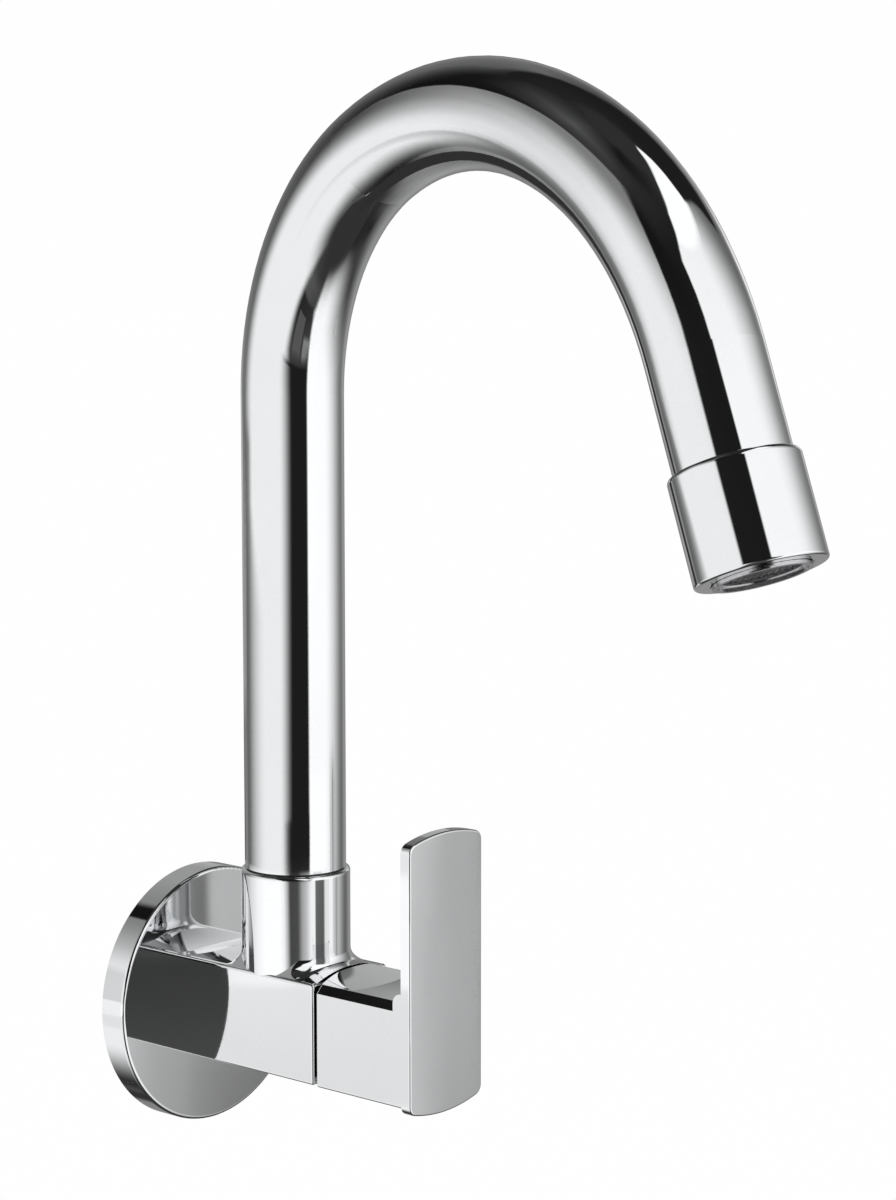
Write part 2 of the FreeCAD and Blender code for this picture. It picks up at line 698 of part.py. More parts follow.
def spindle():
    """The stem: tongue, stop lug, shoulder, ring grooves, clip groove and spline."""
    radius = "dims.spindle_width / 2"
    groove = "(dims.spindle_ring_section + 2 * dims.ring_groove_clearance)"
    floor = f"{radius} - dims.spindle_ring_section - dims.ring_groove_clearance"
    clip_low = f"{HEXAGON_END} + dims.clip_gap"
    clip_high = f"{clip_low} + dims.clip_sheet + 2 * dims.ring_groove_clearance"
    shoulder_end = "dims.shoulder_end - dims.disc_film"
    points = [("0", SHOULDER_BASE), ("dims.shoulder_width / 2", SHOULDER_BASE),
              ("dims.shoulder_width / 2", shoulder_end), (radius, shoulder_end)]
    for place in ("dims.inner_ring_place", "dims.outer_ring_place"):
        low = f"{place} - {groove} / 2"
        high = f"{place} + {groove} / 2"
        points += [(radius, low), (floor, low), (floor, high), (radius, high)]
    points += [(radius, clip_low), (f"{radius} - dims.clip_depth", clip_low),
               (f"{radius} - dims.clip_depth", clip_high), (radius, clip_high), (radius, "dims.spline_start"),
               ("0", "dims.spline_start")]
    stem = turned("stem", points)
    tongue = box("tongue", "dims.tongue_width", "dims.tongue_length",
                 f"{SHOULDER_BASE} - {MOVING_TOP} + dims.tongue_depth - dims.disc_film",
                 "-dims.tongue_width / 2",
                 "-dims.tongue_length / 2", f"{MOVING_TOP} - dims.tongue_depth + dims.disc_film")
    lug = cylinder("lug", "dims.lug_reach", f"{shoulder_end} - {SHOULDER_BASE}", SHOULDER_BASE,
                   "dims.lug_angle")
    lug.Placement.Rotation = Rotation(AXIS_Z, 90 - number("dims.lug_angle") / 2)
    spline = star("spline", SPLINE_TIP, SPLINE_ROOT, "dims.spline_start", "dims.spline_end")
    keep(fuse("spindle", stem, tongue, lug, spline), "spindle", valve_place())
    for side in ("inner", "outer"):
        seal_ring(f"spindle_ring_{side}", radius, "dims.spindle_ring_section", valve_place(),
                  f"dims.{side}_ring_place")
    bore = f"{radius} + dims.running_gap"
    points = [(bore, "dims.shoulder_end"), ("dims.shoulder_width / 2", "dims.shoulder_end"),
              ("dims.shoulder_width / 2", CHAMBER_END), (bore, CHAMBER_END)]
    keep(turned("thrust_washer", points), "thrust_washer", valve_place())
    low = f"{clip_low} + dims.ring_groove_clearance"
    sheet = cylinder("clip_sheet", "dims.clip_width / 2", "dims.clip_sheet", low)
    through = f"dims.clip_sheet + 2 * {OVERCUT}"
    hole = cylinder("clip_hole", f"{radius} - dims.clip_depth + dims.ring_groove_clearance", through,
                    f"{low} - {OVERCUT}")
    mouth = box("clip_gap", "dims.clip_mouth", "dims.clip_width", through, "-dims.clip_mouth / 2",
                "-dims.clip_width", f"{low} - {OVERCUT}")
    keep(cut("spindle_clip", sheet, hole, mouth), "spindle_clip", valve_place())


def spline_adapter():
    """The plastic socket that carries the lever on the spindle's spline."""
    side = "dims.adapter_width"
    block = box("adapter_block", side, side, "dims.spline_end - dims.spline_start", f"-{side} / 2",
                f"-{side} / 2",
                "dims.spline_start")
    bore = star("adapter_bore", f"{SPLINE_TIP} + dims.spline_clearance",
                f"{SPLINE_ROOT} + dims.spline_clearance",
                f"(dims.spline_start - {OVERCUT})", f"(dims.spline_end + {OVERCUT})")
    keep(cut("spline_adapter", block, bore), "spline_adapter", valve_place())


def plate_outline():
    """The lever plate from the front: straight sides, crowned ends and rounded corners."""
    side = "dims.plate_corner"
    corner_x = f"({HANDLE_WIDTH} / 2 - {side})"
    corner_y = f"sqrt((dims.plate_crown - {side})^2 - {corner_x}^2)"
    stretch = f"dims.plate_crown / (dims.plate_crown - {side})"
    half = f"{HANDLE_WIDTH} / 2"
    high = f"(dims.plate_top - dims.plate_crown + {corner_y})"
    low = f"(dims.plate_crown - dims.plate_bottom - {corner_y})"
    crown_x = f"{corner_x} * {stretch}"
    crown_high = f"dims.plate_top - dims.plate_crown + {corner_y} * {stretch}"
    crown_low = f"dims.plate_crown - dims.plate_bottom - {corner_y} * {stretch}"
    return [
        (half, low), (half, high, side, 1), (crown_x, crown_high, "dims.plate_crown", 1),
        (f"-{crown_x}", crown_high, side, 1), (f"-{half}", high), (f"-{half}", low, side, 1),
        (f"-{crown_x}", crown_low, "dims.plate_crown", 1), (crown_x, crown_low, side, 1)]


def lever_handle(saddle_ring):
    """The L shaped lever: hollow block, upright plate, inner web and its share of the saddle."""
    half = f"{HANDLE_WIDTH} / 2"
    block = box("handle_block", HANDLE_WIDTH, "dims.handle_drop + dims.handle_rise",
                f"{PLATE_BACK} - {HANDLE_BACK} + dims.plate_edge", f"-{half}", "-dims.handle_drop",
                HANDLE_BACK)
    back = number(HANDLE_BACK)
    top = number("dims.handle_rise")
    bottom = -number("dims.handle_drop")
    bevelled = bevelled_block(block, lambda edge: runs_along(edge, 2) and lies_at(edge, 1, top))
    soft_block = rounded("soft_handle_block", bevelled, [
        ("dims.block_edge", lambda edge: runs_along(edge, 2) and lies_at(edge, 1, bottom)),
        ("dims.handle_back_edge", lambda edge: lies_at(edge, 2, back))])
    plate = padded("plate", "XY_Plane", plate_outline(), "dims.plate_sheet", offset=PLATE_BACK)
    front = number("dims.handle_front")
    soft_plate = rounded("soft_plate", plate, [("dims.plate_edge", lambda edge: lies_at(edge, 2, front))])
    web_low = "dims.handle_rise - dims.handle_top_edge"
    web_end = f"{PLATE_BACK} + dims.plate_edge"
    web = padded("web", "YZ_Plane", [
        (web_low, f"{PLATE_BACK} - dims.handle_web"), ("dims.handle_rise", f"{PLATE_BACK} - dims.handle_web",
                                                       "dims.handle_web", 1),
        ("dims.handle_rise + dims.handle_web", PLATE_BACK), ("dims.handle_rise + dims.handle_web", web_end),
        (web_low, web_end)], HANDLE_WIDTH, midplane=True)
    saddle_part = common("handle_saddle", saddle_ring,
                         vault("handle_vault", f"({half} - dims.handle_top_edge)", HANDLE_BACK, PLATE_BACK))
    saddle_part.Placement = valve_place().inverse()
    solid = fuse("handle_solid", soft_block, soft_plate, web, saddle_part)
    cavity_end = "(dims.spline_start - dims.cavity_margin)"
    hollow = cylinder("hexagon_room", "dims.hexagon_flats / sqrt(3) + dims.hexagon_clearance",
                      f"{cavity_end} - dims.block_front", "dims.block_front")
    side = "(dims.adapter_width + 2 * dims.adapter_clearance)"
    socket = box("adapter_socket", side, side,
                 f"dims.spline_end + dims.cavity_margin - {cavity_end} + {OVERCUT}",
                 f"-{side} / 2", f"-{side} / 2", f"{cavity_end} - {OVERCUT}")
    screw_hole = cylinder("lever_screw_hole", "dims.lever_screw_width / 2 + dims.screw_clearance",
                          "dims.handle_drop + dims.plate_bottom")
    plug_hole = cylinder("lever_plug_hole", "dims.lever_plug_width / 2 + dims.screw_clearance",
                         "dims.lever_plug_height + dims.screw_clearance + dims.plate_bottom")
    screw_spot = number("dims.lever_screw_place")
    screw_hole.Placement = Placement(Vector(0, 0, screw_spot), Rotation(AXIS_X, 90))
    plug_floor = number("-dims.handle_drop + dims.lever_plug_height + dims.screw_clearance")
    plug_hole.Placement = Placement(Vector(0, plug_floor, screw_spot), Rotation(AXIS_X, 90))
    keep(cut("lever_handle", solid, hollow, socket, screw_hole, plug_hole), "lever_handle", valve_place())


def lever_screw():
    """The grub screw under the lever, and the cap over it."""
    down = Rotation(AXIS_X, 90)
    top = -number("dims.adapter_width / 2 + 2 * dims.adapter_clearance")
    spot = number("dims.lever_screw_place")
    shaft = cylinder("lever_screw_shaft", "dims.lever_screw_width / 2", "dims.lever_screw_length")
    key = hexagon("lever_screw_key", "dims.screw_key", f"dims.screw_key_depth + {OVERCUT}",
                  "dims.lever_screw_length - dims.screw_key_depth")
    screw = keep(cut("lever_screw", shaft, key), "lever_screw")
    screw.Placement = valve_place() * Placement(Vector(0, top, spot), down)
    plug = keep(cylinder("lever_plug", "dims.lever_plug_width / 2", "dims.lever_plug_height"), "lever_plug")
    low = number("-dims.handle_drop + dims.lever_plug_height")
    plug.Placement = valve_place() * Placement(Vector(0, low, spot), down)


def spout_tube():
    """The bent tube: one ring swept along a line, two blended arcs and a line."""
    body = doc.addObject("PartDesign::Body", "spout_tube")
    path = body.newObject("Sketcher::SketchObject", "tube_path")
    path.AttachmentSupport = [(origin_plane(body, "YZ_Plane"), "")]
    path.MapMode = "FlatFace"
    first = number("dims.first_bend_radius")
    second = number("dims.second_bend_radius")
    tail = number("dims.tube_tail + dims.tube_tuck")
    blend = radians(number("dims.turn_one"))
    turn = radians(number("dims.turn_all"))
    foot = Vector(0, number(TUBE_FOOT), 0)
    top = Vector(0, number(TUBE_TOP), 0)
    centre_one = top - Vector(first, 0, 0)
    joint = centre_one + Vector(cos(blend), sin(blend), 0) * first
    centre_two = joint - Vector(cos(blend), sin(blend), 0) * second
    bend_end = centre_two + Vector(cos(turn), sin(turn), 0) * second
    end = bend_end + Vector(-sin(turn), cos(turn), 0) * tail
    path.addGeometry(Part.LineSegment(foot, top), False)
    path.addGeometry(Part.ArcOfCircle(Part.Circle(centre_one, AXIS_Z, first), 0, blend), False)
    path.addGeometry(Part.ArcOfCircle(Part.Circle(centre_two, AXIS_Z, second), blend, turn), False)
    path.addGeometry(Part.LineSegment(bend_end, end), False)
    for before in range(3):
        path.addConstraint(Sketcher.Constraint("Tangent", before, 2, before + 1, 1))
    path.addConstraint(Sketcher.Constraint("PointOnObject", 0, 1, -2))
    path.addConstraint(Sketcher.Constraint("Vertical", 0))
    tie(path, ("DistanceY", -1, 1, 0, 1, foot.y), TUBE_FOOT)
    tie(path, ("DistanceY", -1, 1, 0, 2, top.y), TUBE_TOP)
    tie(path, ("Radius", 1, first), "dims.first_bend_radius")
    tie(path, ("Radius", 2, second), "dims.second_bend_radius")
    tie(path, ("DistanceY", -1, 1, 1, 2, joint.y),
        f"{TUBE_TOP} + dims.first_bend_radius * sin(dims.turn_one)")
    tail_text = "(dims.tube_tail + dims.tube_tuck)"
    tie(path, ("DistanceX", 3, 2, 3, 1, bend_end.x - end.x), f"{tail_text} * sin(dims.turn_all)")
    tie(path, ("DistanceY", 3, 2, 3, 1, bend_end.y - end.y), f"-{tail_text} * cos(dims.turn_all)")
    section = body.newObject("Sketcher::SketchObject", "tube_section")
    section.AttachmentSupport = [(origin_plane(body, "XY_Plane"), "")]
    section.MapMode = "FlatFace"
    section.setExpression("AttachmentOffset.Base.z", TUBE_FOOT)
    for index, radius in enumerate(("dims.tube_width / 2", TUBE_BORE)):
        section.addGeometry(Part.Circle(Vector(0, 0, 0), AXIS_Z, number(radius)), False)
        section.addConstraint(Sketcher.Constraint("Coincident", index, 3, -1, 1))
        tie(section, ("Radius", index, number(radius)), radius)
    doc.recompute()
    sweep = body.newObject("PartDesign::AdditivePipe", "tube_sweep")
    sweep.Profile = section
    sweep.Spine = (path, ["Edge1", "Edge2", "Edge3", "Edge4"])
    doc.recompute()
    length = number(TUBE_TOP) - number(TUBE_FOOT) + first * blend + second * (turn - blend) + tail
    wall = pi * (number("dims.tube_width / 2") ** 2 - number(TUBE_BORE) ** 2)
    print("spout_tube volume over section times length", round(body.Shape.Volume / (length * wall), 6))
    keep(body, "spout_tube", spout_place())


def spout_spigot():
    """The brass connector in the tube's foot, with its rings and the groove that keeps the spout in."""
    radius = "dims.spigot_width / 2"
    groove = "(dims.spigot_ring_section + 2 * dims.ring_groove_clearance)"
    floor = f"{radius} - dims.spigot_ring_section - dims.ring_groove_clearance"
    retain_floor = f"{radius} - dims.retain_depth"
    bottom = "dims.socket_floor + dims.spigot_lift"
    tail_end = f"{TUBE_FOOT} + dims.spigot_tail"
    tail = f"{TUBE_BORE} - dims.braze_clearance"
    points = [("dims.spigot_bore / 2", bottom), (radius, bottom)]
    for place, width, depth_floor in (("dims.lower_ring_place", groove, floor),
                                      ("dims.retain_place", "dims.retain_width", retain_floor),
                                      ("dims.upper_ring_place", groove, floor)):
        low = f"{place} - {width} / 2"
        high = f"{place} + {width} / 2"
        points += [(radius, low), (depth_floor, low), (depth_floor, high), (radius, high)]
    points += [(radius, TUBE_FOOT), (tail, TUBE_FOOT), (tail, tail_end), ("dims.spigot_bore / 2", tail_end)]
    keep(turned("spout_spigot", points), "spout_spigot", spout_place())
    for side in ("lower", "upper"):
        seal_ring(f"spigot_ring_{side}", radius, "dims.spigot_ring_section", spout_place(),
                  f"dims.{side}_ring_place")


def slip_ring():
    """The plastic ring that the spout turns on."""
    inner = "dims.spigot_width / 2 + 2 * dims.running_gap"
    low = "dims.turret_top - dims.slip_ring_seat"
    high = f"{TUBE_FOOT} - dims.disc_film"
    points = [(inner, low), ("dims.slip_ring_width / 2", low), ("dims.slip_ring_width / 2", high),
              (inner, high)]
    keep(turned("spout_slip_ring", points), "spout_slip_ring", turret_place())


def spout_screw():
    """The grub screw at the turret's back; its tip stands in the spigot's groove."""
    tip = "dims.spout_screw_tip / 2"
    shaft = "dims.spout_screw_width / 2"
    start = "dims.spout_screw_reach"
    step = "dims.spigot_width / 2 + dims.spout_screw_step"
    end = "dims.turret_width / 2 - dims.spout_screw_inset"
    stem = turned("spout_screw_stem",
                  [("0", start), (tip, start), (tip, step), (shaft, step), (shaft, end), ("0", end)])
    key = hexagon("spout_screw_key", "dims.spout_screw_key", f"dims.screw_key_depth + {OVERCUT}",
                  f"{end} - dims.screw_key_depth")
    screw = keep(cut("spout_screw", stem, key), "spout_screw")
    screw.Placement = Placement(Vector(0, -number("dims.wall_to_spout"), number("dims.retain_place")),
                                Rotation(AXIS_X, -90))


def outlet_bush():
    """The threaded bush brazed into the tube's outlet."""
    tail = f"{TUBE_BORE} - dims.braze_clearance"
    thread = "dims.tube_width / 2"
    points = [("dims.bush_bore / 2", "dims.tube_tuck - dims.bush_tail"),
              (tail, "dims.tube_tuck - dims.bush_tail"),
              (tail, "dims.tube_tuck"), (thread, "dims.tube_tuck"), (thread, BUSH_END),
              ("dims.bush_bore / 2", BUSH_END)]
    keep(turned("outlet_bush", points), "outlet_bush", outlet_place())


def aerator_shell():
    """The collar that screws over the bush and holds the aerator by its lip."""
    bore = "dims.tube_width / 2 + dims.shell_clearance"
    outer = f"{bore} + dims.shell_wall"
    points = [
        (bore, "0"), (f"{outer} - dims.shell_shoulder", "0", "dims.shell_shoulder", 1),
        (outer, "dims.shell_shoulder"),
        (outer, "dims.shell_length - dims.shell_edge", "dims.shell_edge", 1),
        (f"{outer} - dims.shell_edge", "dims.shell_length"), ("dims.shell_mouth / 2", "dims.shell_length"),
        ("dims.shell_mouth / 2", LIP_BASE), (bore, LIP_BASE)]
    keep(turned("aerator_shell", points), "aerator_shell", outlet_place())


def aerator_inside():
    """Washer, cage, spreader, core and screens, stacked towards the mouth."""
    outer = "dims.tube_width / 2"
    points = [("dims.bush_bore / 2", BUSH_END), (outer, BUSH_END), (outer, CAGE_BASE),
              ("dims.bush_bore / 2", CAGE_BASE)]
    keep(turned("aerator_washer", points), "aerator_washer", outlet_place())
    pocket = "dims.cage_pocket / 2"
    bore = "dims.cage_bore / 2"
    ledge = "dims.cage_ledge_bore / 2"
    ledge_end = f"{LEDGE_BASE} + dims.cage_ledge_height"
    points = [
        (pocket, CAGE_BASE), (outer, CAGE_BASE), (outer, LIP_BASE), ("dims.cage_nozzle / 2", LIP_BASE),
        ("dims.cage_nozzle / 2", CAGE_END), (bore, CAGE_END), (bore, ledge_end), (ledge, ledge_end),
        (ledge, LEDGE_BASE), (bore, LEDGE_BASE), (bore, SPREADER_END), (pocket, SPREADER_END)]
    keep(turned("aerator_cage", points), "aerator_cage", outlet_place())
    spreader_base = f"{SPREADER_END} - dims.spreader_height"
    plate = cylinder("spreader_plate", f"{pocket} - dims.cage_clearance", "dims.spreader_height",
                     spreader_base)
    holes = []
    count = int(number("dims.spreader_holes"))
    for index in range(count):
        turn = f"{index} * 360 / dims.spreader_holes"
        hole = cylinder(f"spreader_hole_{index}", "dims.spreader_hole / 2",
                        f"dims.spreader_height + 2 * {OVERCUT}", f"{spreader_base} - {OVERCUT}")
        bind(hole, _at_x=f"dims.spreader_circle / 2 * cos({turn})",
             _at_y=f"dims.spreader_circle / 2 * sin({turn})")
        holes.append(hole)
    keep(cut("aerator_spreader", plate, *holes), "aerator_spreader", outlet_place())
    screen_base = f"({LEDGE_BASE} - dims.screen_height)"
    core_end = f"({screen_base} - dims.core_gap)"
    hub = doc.addObject("Part::Cone", "core_hub")
    bind(hub, Radius1="dims.core_width / 2", Radius2="dims.core_tip / 2",
         Height=f"{core_end} - {SPREADER_END}",
         _at_z=SPREADER_END)
    ribs = [hub]
    reach = f"({bore} - dims.cage_clearance)"
    for index in range(int(number("dims.core_ribs / 2"))):
        rib = box(f"core_rib_{index}", f"2 * {reach}", "dims.core_rib_sheet",
                  f"({core_end} - {SPREADER_END}) / 2",
                  f"-{reach}", "-dims.core_rib_sheet / 2", SPREADER_END)
        turn = Rotation(AXIS_Z, index * 360 / number("dims.core_ribs"))
        holder = doc.addObject("Part::Compound", f"core_rib_turned_{index}")
        holder.Links = [rib]
        holder.Placement = Placement(Vector(), turn)
        ribs.append(holder)
    core = fuse("core_blank", *ribs)
    rim = cylinder("core_rim", reach, core_end)
    keep(common("flow_core", core, rim), "flow_core", outlet_place())
    aerator_screen(screen_base)


def aerator_screen(base):
    """The perforated disc at the mouth, with its holes on a triangular grid."""
    item = doc.addObject("Part::Feature", "aerator_screen")
    radius = number("dims.cage_bore / 2 - dims.cage_clearance")
    hole = number("dims.screen_hole") / 2
    pitch = number("dims.screen_pitch")
    field = number("dims.cage_ledge_bore / 2 - dims.screen_margin")
    low = Vector(0, 0, number(base))
    wires = [Part.Wire(Part.Circle(low, AXIS_Z, radius).toShape())]
    reach = int(field / pitch) + 1
    for line in range(-reach - 1, reach + 2):
        for column in range(-reach - 1, reach + 2):
            x = (column + (line % 2) / 2) * pitch
            y = line * pitch * sin(radians(60))
            if hypot(x, y) + hole < field:
                wires.append(Part.Wire(Part.Circle(low + Vector(x, y, 0), AXIS_Z, hole).toShape()))
    face = Part.Face(wires, "Part::FaceMakerBullseye")
    item.Shape = face.extrude(Vector(0, 0, number("dims.screen_height")))
    print("aerator_screen holes", len(wires) - 1)
    keep(item, "aerator_screen", outlet_place())


flare_ring = flare()
saddle_ring = saddle()
wall_flange()
inlet_shank()
valve_body(flare_ring, saddle_ring)
bonnet()
ceramic_discs()
spindle()
spline_adapter()
lever_handle(saddle_ring)
lever_screw()
slip_ring()
spout_spigot()
spout_screw()
spout_tube()
outlet_bush()
aerator_shell()
aerator_inside()
doc.recompute()

for item in doc.Objects:
    if "Invalid" in item.State or "Error" in item.State:
        raise RuntimeError(f"{item.Label} is in state {item.State}")
for item in pieces:
    if item.Shape.isNull() or not item.Shape.isValid():
        raise RuntimeError(f"{item.Label} has no valid shape")

os.makedirs("parts", exist_ok=True)
for item in pieces:
    item.Shape.exportStep(f"parts/{item.Label}.step")
    bounds = item.Shape.optimalBoundingBox()
    print(f"{item.Label}: {len(item.Shape.Solids)} solid, {item.Shape.Volume:.1f} mm3, "
          f"x {bounds.XMin:.2f} {bounds.XMax:.2f}, y {bounds.YMin:.2f} {bounds.YMax:.2f}, "
          f"z {bounds.ZMin:.2f} {bounds.ZMax:.2f}")
print(len(pieces), "pieces")
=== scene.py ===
# %% [markdown]
# # A swivel spout sink tap, dressed for its picture
#
# The tap's solids come ready made and stay where they are. Here they get their finishes, two parts get
# finer shapes than the solids have, and a small studio is set up around them. Chrome has no look of its
# own: it shows the room around it. So half of this lesson is about the metal and half about the room.

# %% [markdown]
# ## Load the tap
#
# The inlet's axis crosses the wall at the origin, +Z is up, and -Y points out of the wall.

# %% Load the tap
from math import cos, pi, radians, sin, sqrt

import bpy
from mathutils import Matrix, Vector


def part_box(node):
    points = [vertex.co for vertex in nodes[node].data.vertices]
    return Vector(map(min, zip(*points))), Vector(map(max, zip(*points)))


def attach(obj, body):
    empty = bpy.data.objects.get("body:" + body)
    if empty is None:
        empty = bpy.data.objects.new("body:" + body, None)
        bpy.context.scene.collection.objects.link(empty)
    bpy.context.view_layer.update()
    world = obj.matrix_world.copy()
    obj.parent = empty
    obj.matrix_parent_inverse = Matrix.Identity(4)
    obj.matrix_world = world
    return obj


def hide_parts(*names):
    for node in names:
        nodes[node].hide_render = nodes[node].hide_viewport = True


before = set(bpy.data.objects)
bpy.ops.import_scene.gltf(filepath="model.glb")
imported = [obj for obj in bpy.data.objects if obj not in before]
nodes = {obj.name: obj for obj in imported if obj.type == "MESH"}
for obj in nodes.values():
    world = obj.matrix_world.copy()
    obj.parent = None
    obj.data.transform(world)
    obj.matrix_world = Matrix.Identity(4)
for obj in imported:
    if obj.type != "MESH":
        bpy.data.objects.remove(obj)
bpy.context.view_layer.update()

# %% [markdown]
# ## The camera
#
# The picture was taken from the tap's front left, a little above it, with a long lens, so upright lines
# stay nearly upright. The place and the angles below come from the tap's own edges. A lens length
# in millimetres goes with a sensor size: here 36 mm on the frame's long side.

# %% The camera
CAMERA_PLACE = (-0.51391, -0.51905, 0.19343)
CAMERA_TURN = 49.802
CAMERA_DROP = 7.305
LENS = 87.307
SENSOR_SIDE = 36.0
NEAREST = 0.01
FARTHEST = 50.0

camera_data = bpy.data.cameras.new("camera")
camera_data.lens = LENS
camera_data.sensor_width = SENSOR_SIDE
camera_data.sensor_fit = "AUTO"
camera_data.clip_start = NEAREST
camera_data.clip_end = FARTHEST
camera = bpy.data.objects.new("camera", camera_data)
camera.location = CAMERA_PLACE
camera.rotation_euler = (radians(90.0 - CAMERA_DROP), 0.0, radians(-CAMERA_TURN))
bpy.context.scene.collection.objects.link(camera)
bpy.context.scene.camera = camera
print("camera at", CAMERA_PLACE)

# %% [markdown]
# ## Short names for building node trees
#
# Every finish below is a tree of shader nodes. These helpers keep the cells short. An input takes either a
# plain value or another node's output, so one call can add a node and join it up.


# %% Helpers for node trees
def feed(tree, value, socket):
    """Joins an output to the input, or sets the input to a number or colour."""
    if isinstance(value, bpy.types.NodeSocket):
        tree.links.new(value, socket)
    else:
        socket.default_value = value


def add(tree, kind, **values):
    """Adds a node. A value goes to the node's own setting of that name, or else to its input."""
    made = tree.nodes.new(kind)
    for name, value in values.items():
        if hasattr(made, name):
            setattr(made, name, value)
        else:
            feed(tree, value, made.inputs[name.replace("_", " ")])
    return made


def calc(tree, operation, *values, **settings):
    """A Math node over its values, and its result."""
    made = add(tree, "ShaderNodeMath", operation=operation, **settings)
    for value, socket in zip(values, made.inputs):
        feed(tree, value, socket)
    return made.outputs[0]


def mixed(tree, share, first, second):
    """The first shader where the share is 0 and the second where it is 1."""
    made = add(tree, "ShaderNodeMixShader")
    for value, socket in zip((share, first.outputs[0], second.outputs[0]), made.inputs):
        feed(tree, value, socket)
    return made


def blank_material(name):
    """A material and its empty tree."""
    material = bpy.data.materials.new(name)
    material.use_nodes = True
    material.node_tree.nodes.clear()
    return material, material.node_tree


def show(material, shader):
    """The material with this shader on its surface."""
    add(material.node_tree, "ShaderNodeOutputMaterial", Surface=shader.outputs[0])
    return material


def seen_plainly(tree):
    """1 for the camera, for what a mirror sees and for what shows through clear things, else 0."""
    path = add(tree, "ShaderNodeLightPath").outputs
    sees = calc(tree, "MAXIMUM", path["Is Camera Ray"], path["Is Glossy Ray"])
    return calc(tree, "MAXIMUM", sees, path["Is Transmission Ray"])


# %% [markdown]
# ## The room's light
#
# The world gives even light from all round. For the camera, and for what polished metal mirrors, it is
# plain white. For everything else it is a little lower, because two soft lamps add the rest. The Light
# Path node tells the cases apart.

# %% The world
WHITE = (1.0, 1.0, 1.0, 1.0)
WORLD_LEVEL = 0.72
WORLD_WHITE = (0.993, 0.993, 0.993, 1.0)

world = bpy.data.worlds.new("studio")
bpy.context.scene.world = world
world.use_nodes = True
tree = world.node_tree
tree.nodes.clear()
soft = add(tree, "ShaderNodeBackground", Color=WHITE, Strength=WORLD_LEVEL)
plain = add(tree, "ShaderNodeBackground", Color=WORLD_WHITE, Strength=1.0)
either = mixed(tree, seen_plainly(tree), soft, plain)
add(tree, "ShaderNodeOutputWorld", Surface=either.outputs[0])
bpy.context.scene.view_settings.view_transform = "Standard"
print("world level for matt surfaces", WORLD_LEVEL)

# %% [markdown]
# The lamps are large squares of light, one high on the left and one in front on the right. They would
# show in the chrome as hard white squares, so polished metal doesn't see them. It gets its highlights
# from the cards further down.

# %% Two soft lamps
LAMP_SIDE = 1.2
LAMP_AIM = Vector((0.0, -0.08, 0.12))


def lamp(name, place, power):
    data = bpy.data.lights.new(name, "AREA")
    data.shape = "SQUARE"
    data.size = LAMP_SIDE
    data.energy = power
    made = bpy.data.objects.new(name, data)
    made.location = place
    made.rotation_euler = (LAMP_AIM - Vector(place)).to_track_quat("-Z", "Y").to_euler()
    made.visible_glossy = False
    made.visible_camera = False
    bpy.context.scene.collection.objects.link(made)


lamp("lamp_left", place=(-1.3, -0.9, 1.5), power=12.0)
lamp("lamp_front", place=(0.9, -1.6, 1.0), power=8.0)
print("two lamps")

# %% [markdown]
# ## The floor
#
# The tap hangs on a wall about a metre above the floor. The floor is pale and catches the tap's shadow.
# Part of its brightness is its own light, as on a lit table, so that far away it runs into the white
# background with no line. The small function here makes each mesh of this lesson.

# %% The floor
FLOOR_LEVEL = -1.05
FLOOR_REACH = 30.0
FLOOR_COLOUR = (0.95, 0.95, 0.95, 1.0)
FLOOR_GLOW = 0.98


def made_of(name, points, faces, material):
    """A mesh object with one material, put into the scene."""
    mesh = bpy.data.meshes.new(name)
    mesh.from_pydata(points, [], faces)
    mesh.materials.append(material)
    made = bpy.data.objects.new(name, mesh)
    bpy.context.scene.collection.objects.link(made)
    return made


corners = [(x * FLOOR_REACH, y * FLOOR_REACH, FLOOR_LEVEL) for x, y in ((-1, -1), (1, -1), (1, 1), (-1, 1))]
material, tree = blank_material("pale_floor")
matt = add(tree, "ShaderNodeBsdfDiffuse", Color=FLOOR_COLOUR)
lit = add(tree, "ShaderNodeEmission", Color=WHITE, Strength=1.0)
glow = calc(tree, "MULTIPLY", seen_plainly(tree), FLOOR_GLOW)
floor = made_of("floor", corners, [(0, 1, 2, 3)], show(material, mixed(tree, glow, matt, lit)))
print("floor at", FLOOR_LEVEL, "m")

# %% [markdown]
# ## Cards for the chrome to mirror
#
# In an all white room a chrome tap turns into a pale ghost. Photographers of bright metal stand dark, grey
# and lit cards around it. Each one mirrors as a band whose edge is as soft as the card's own, and that is
# how the crisp black stripe down the tube and the black cap over the arch are made.
#
# Each card's tone, and how far it covers what lies behind it, are kept on its points, so it can shade from
# one tone to another and its edges can fade. Only mirror rays see it: it throws no shadow and gives the rest
# of the scene no light. Two kinds do one thing more. Like a lamp behind a honeycomb grid, a honeycomb card
# shows only to what looks at it squarely, which Layer Weight measures. A one way card is clear from behind,
# so it can stand close in front of one part of the tap and show to another part only.

# %% What a card is made of
HONEYCOMB = {"clear_at": 0.14, "solid_at": 0.06}


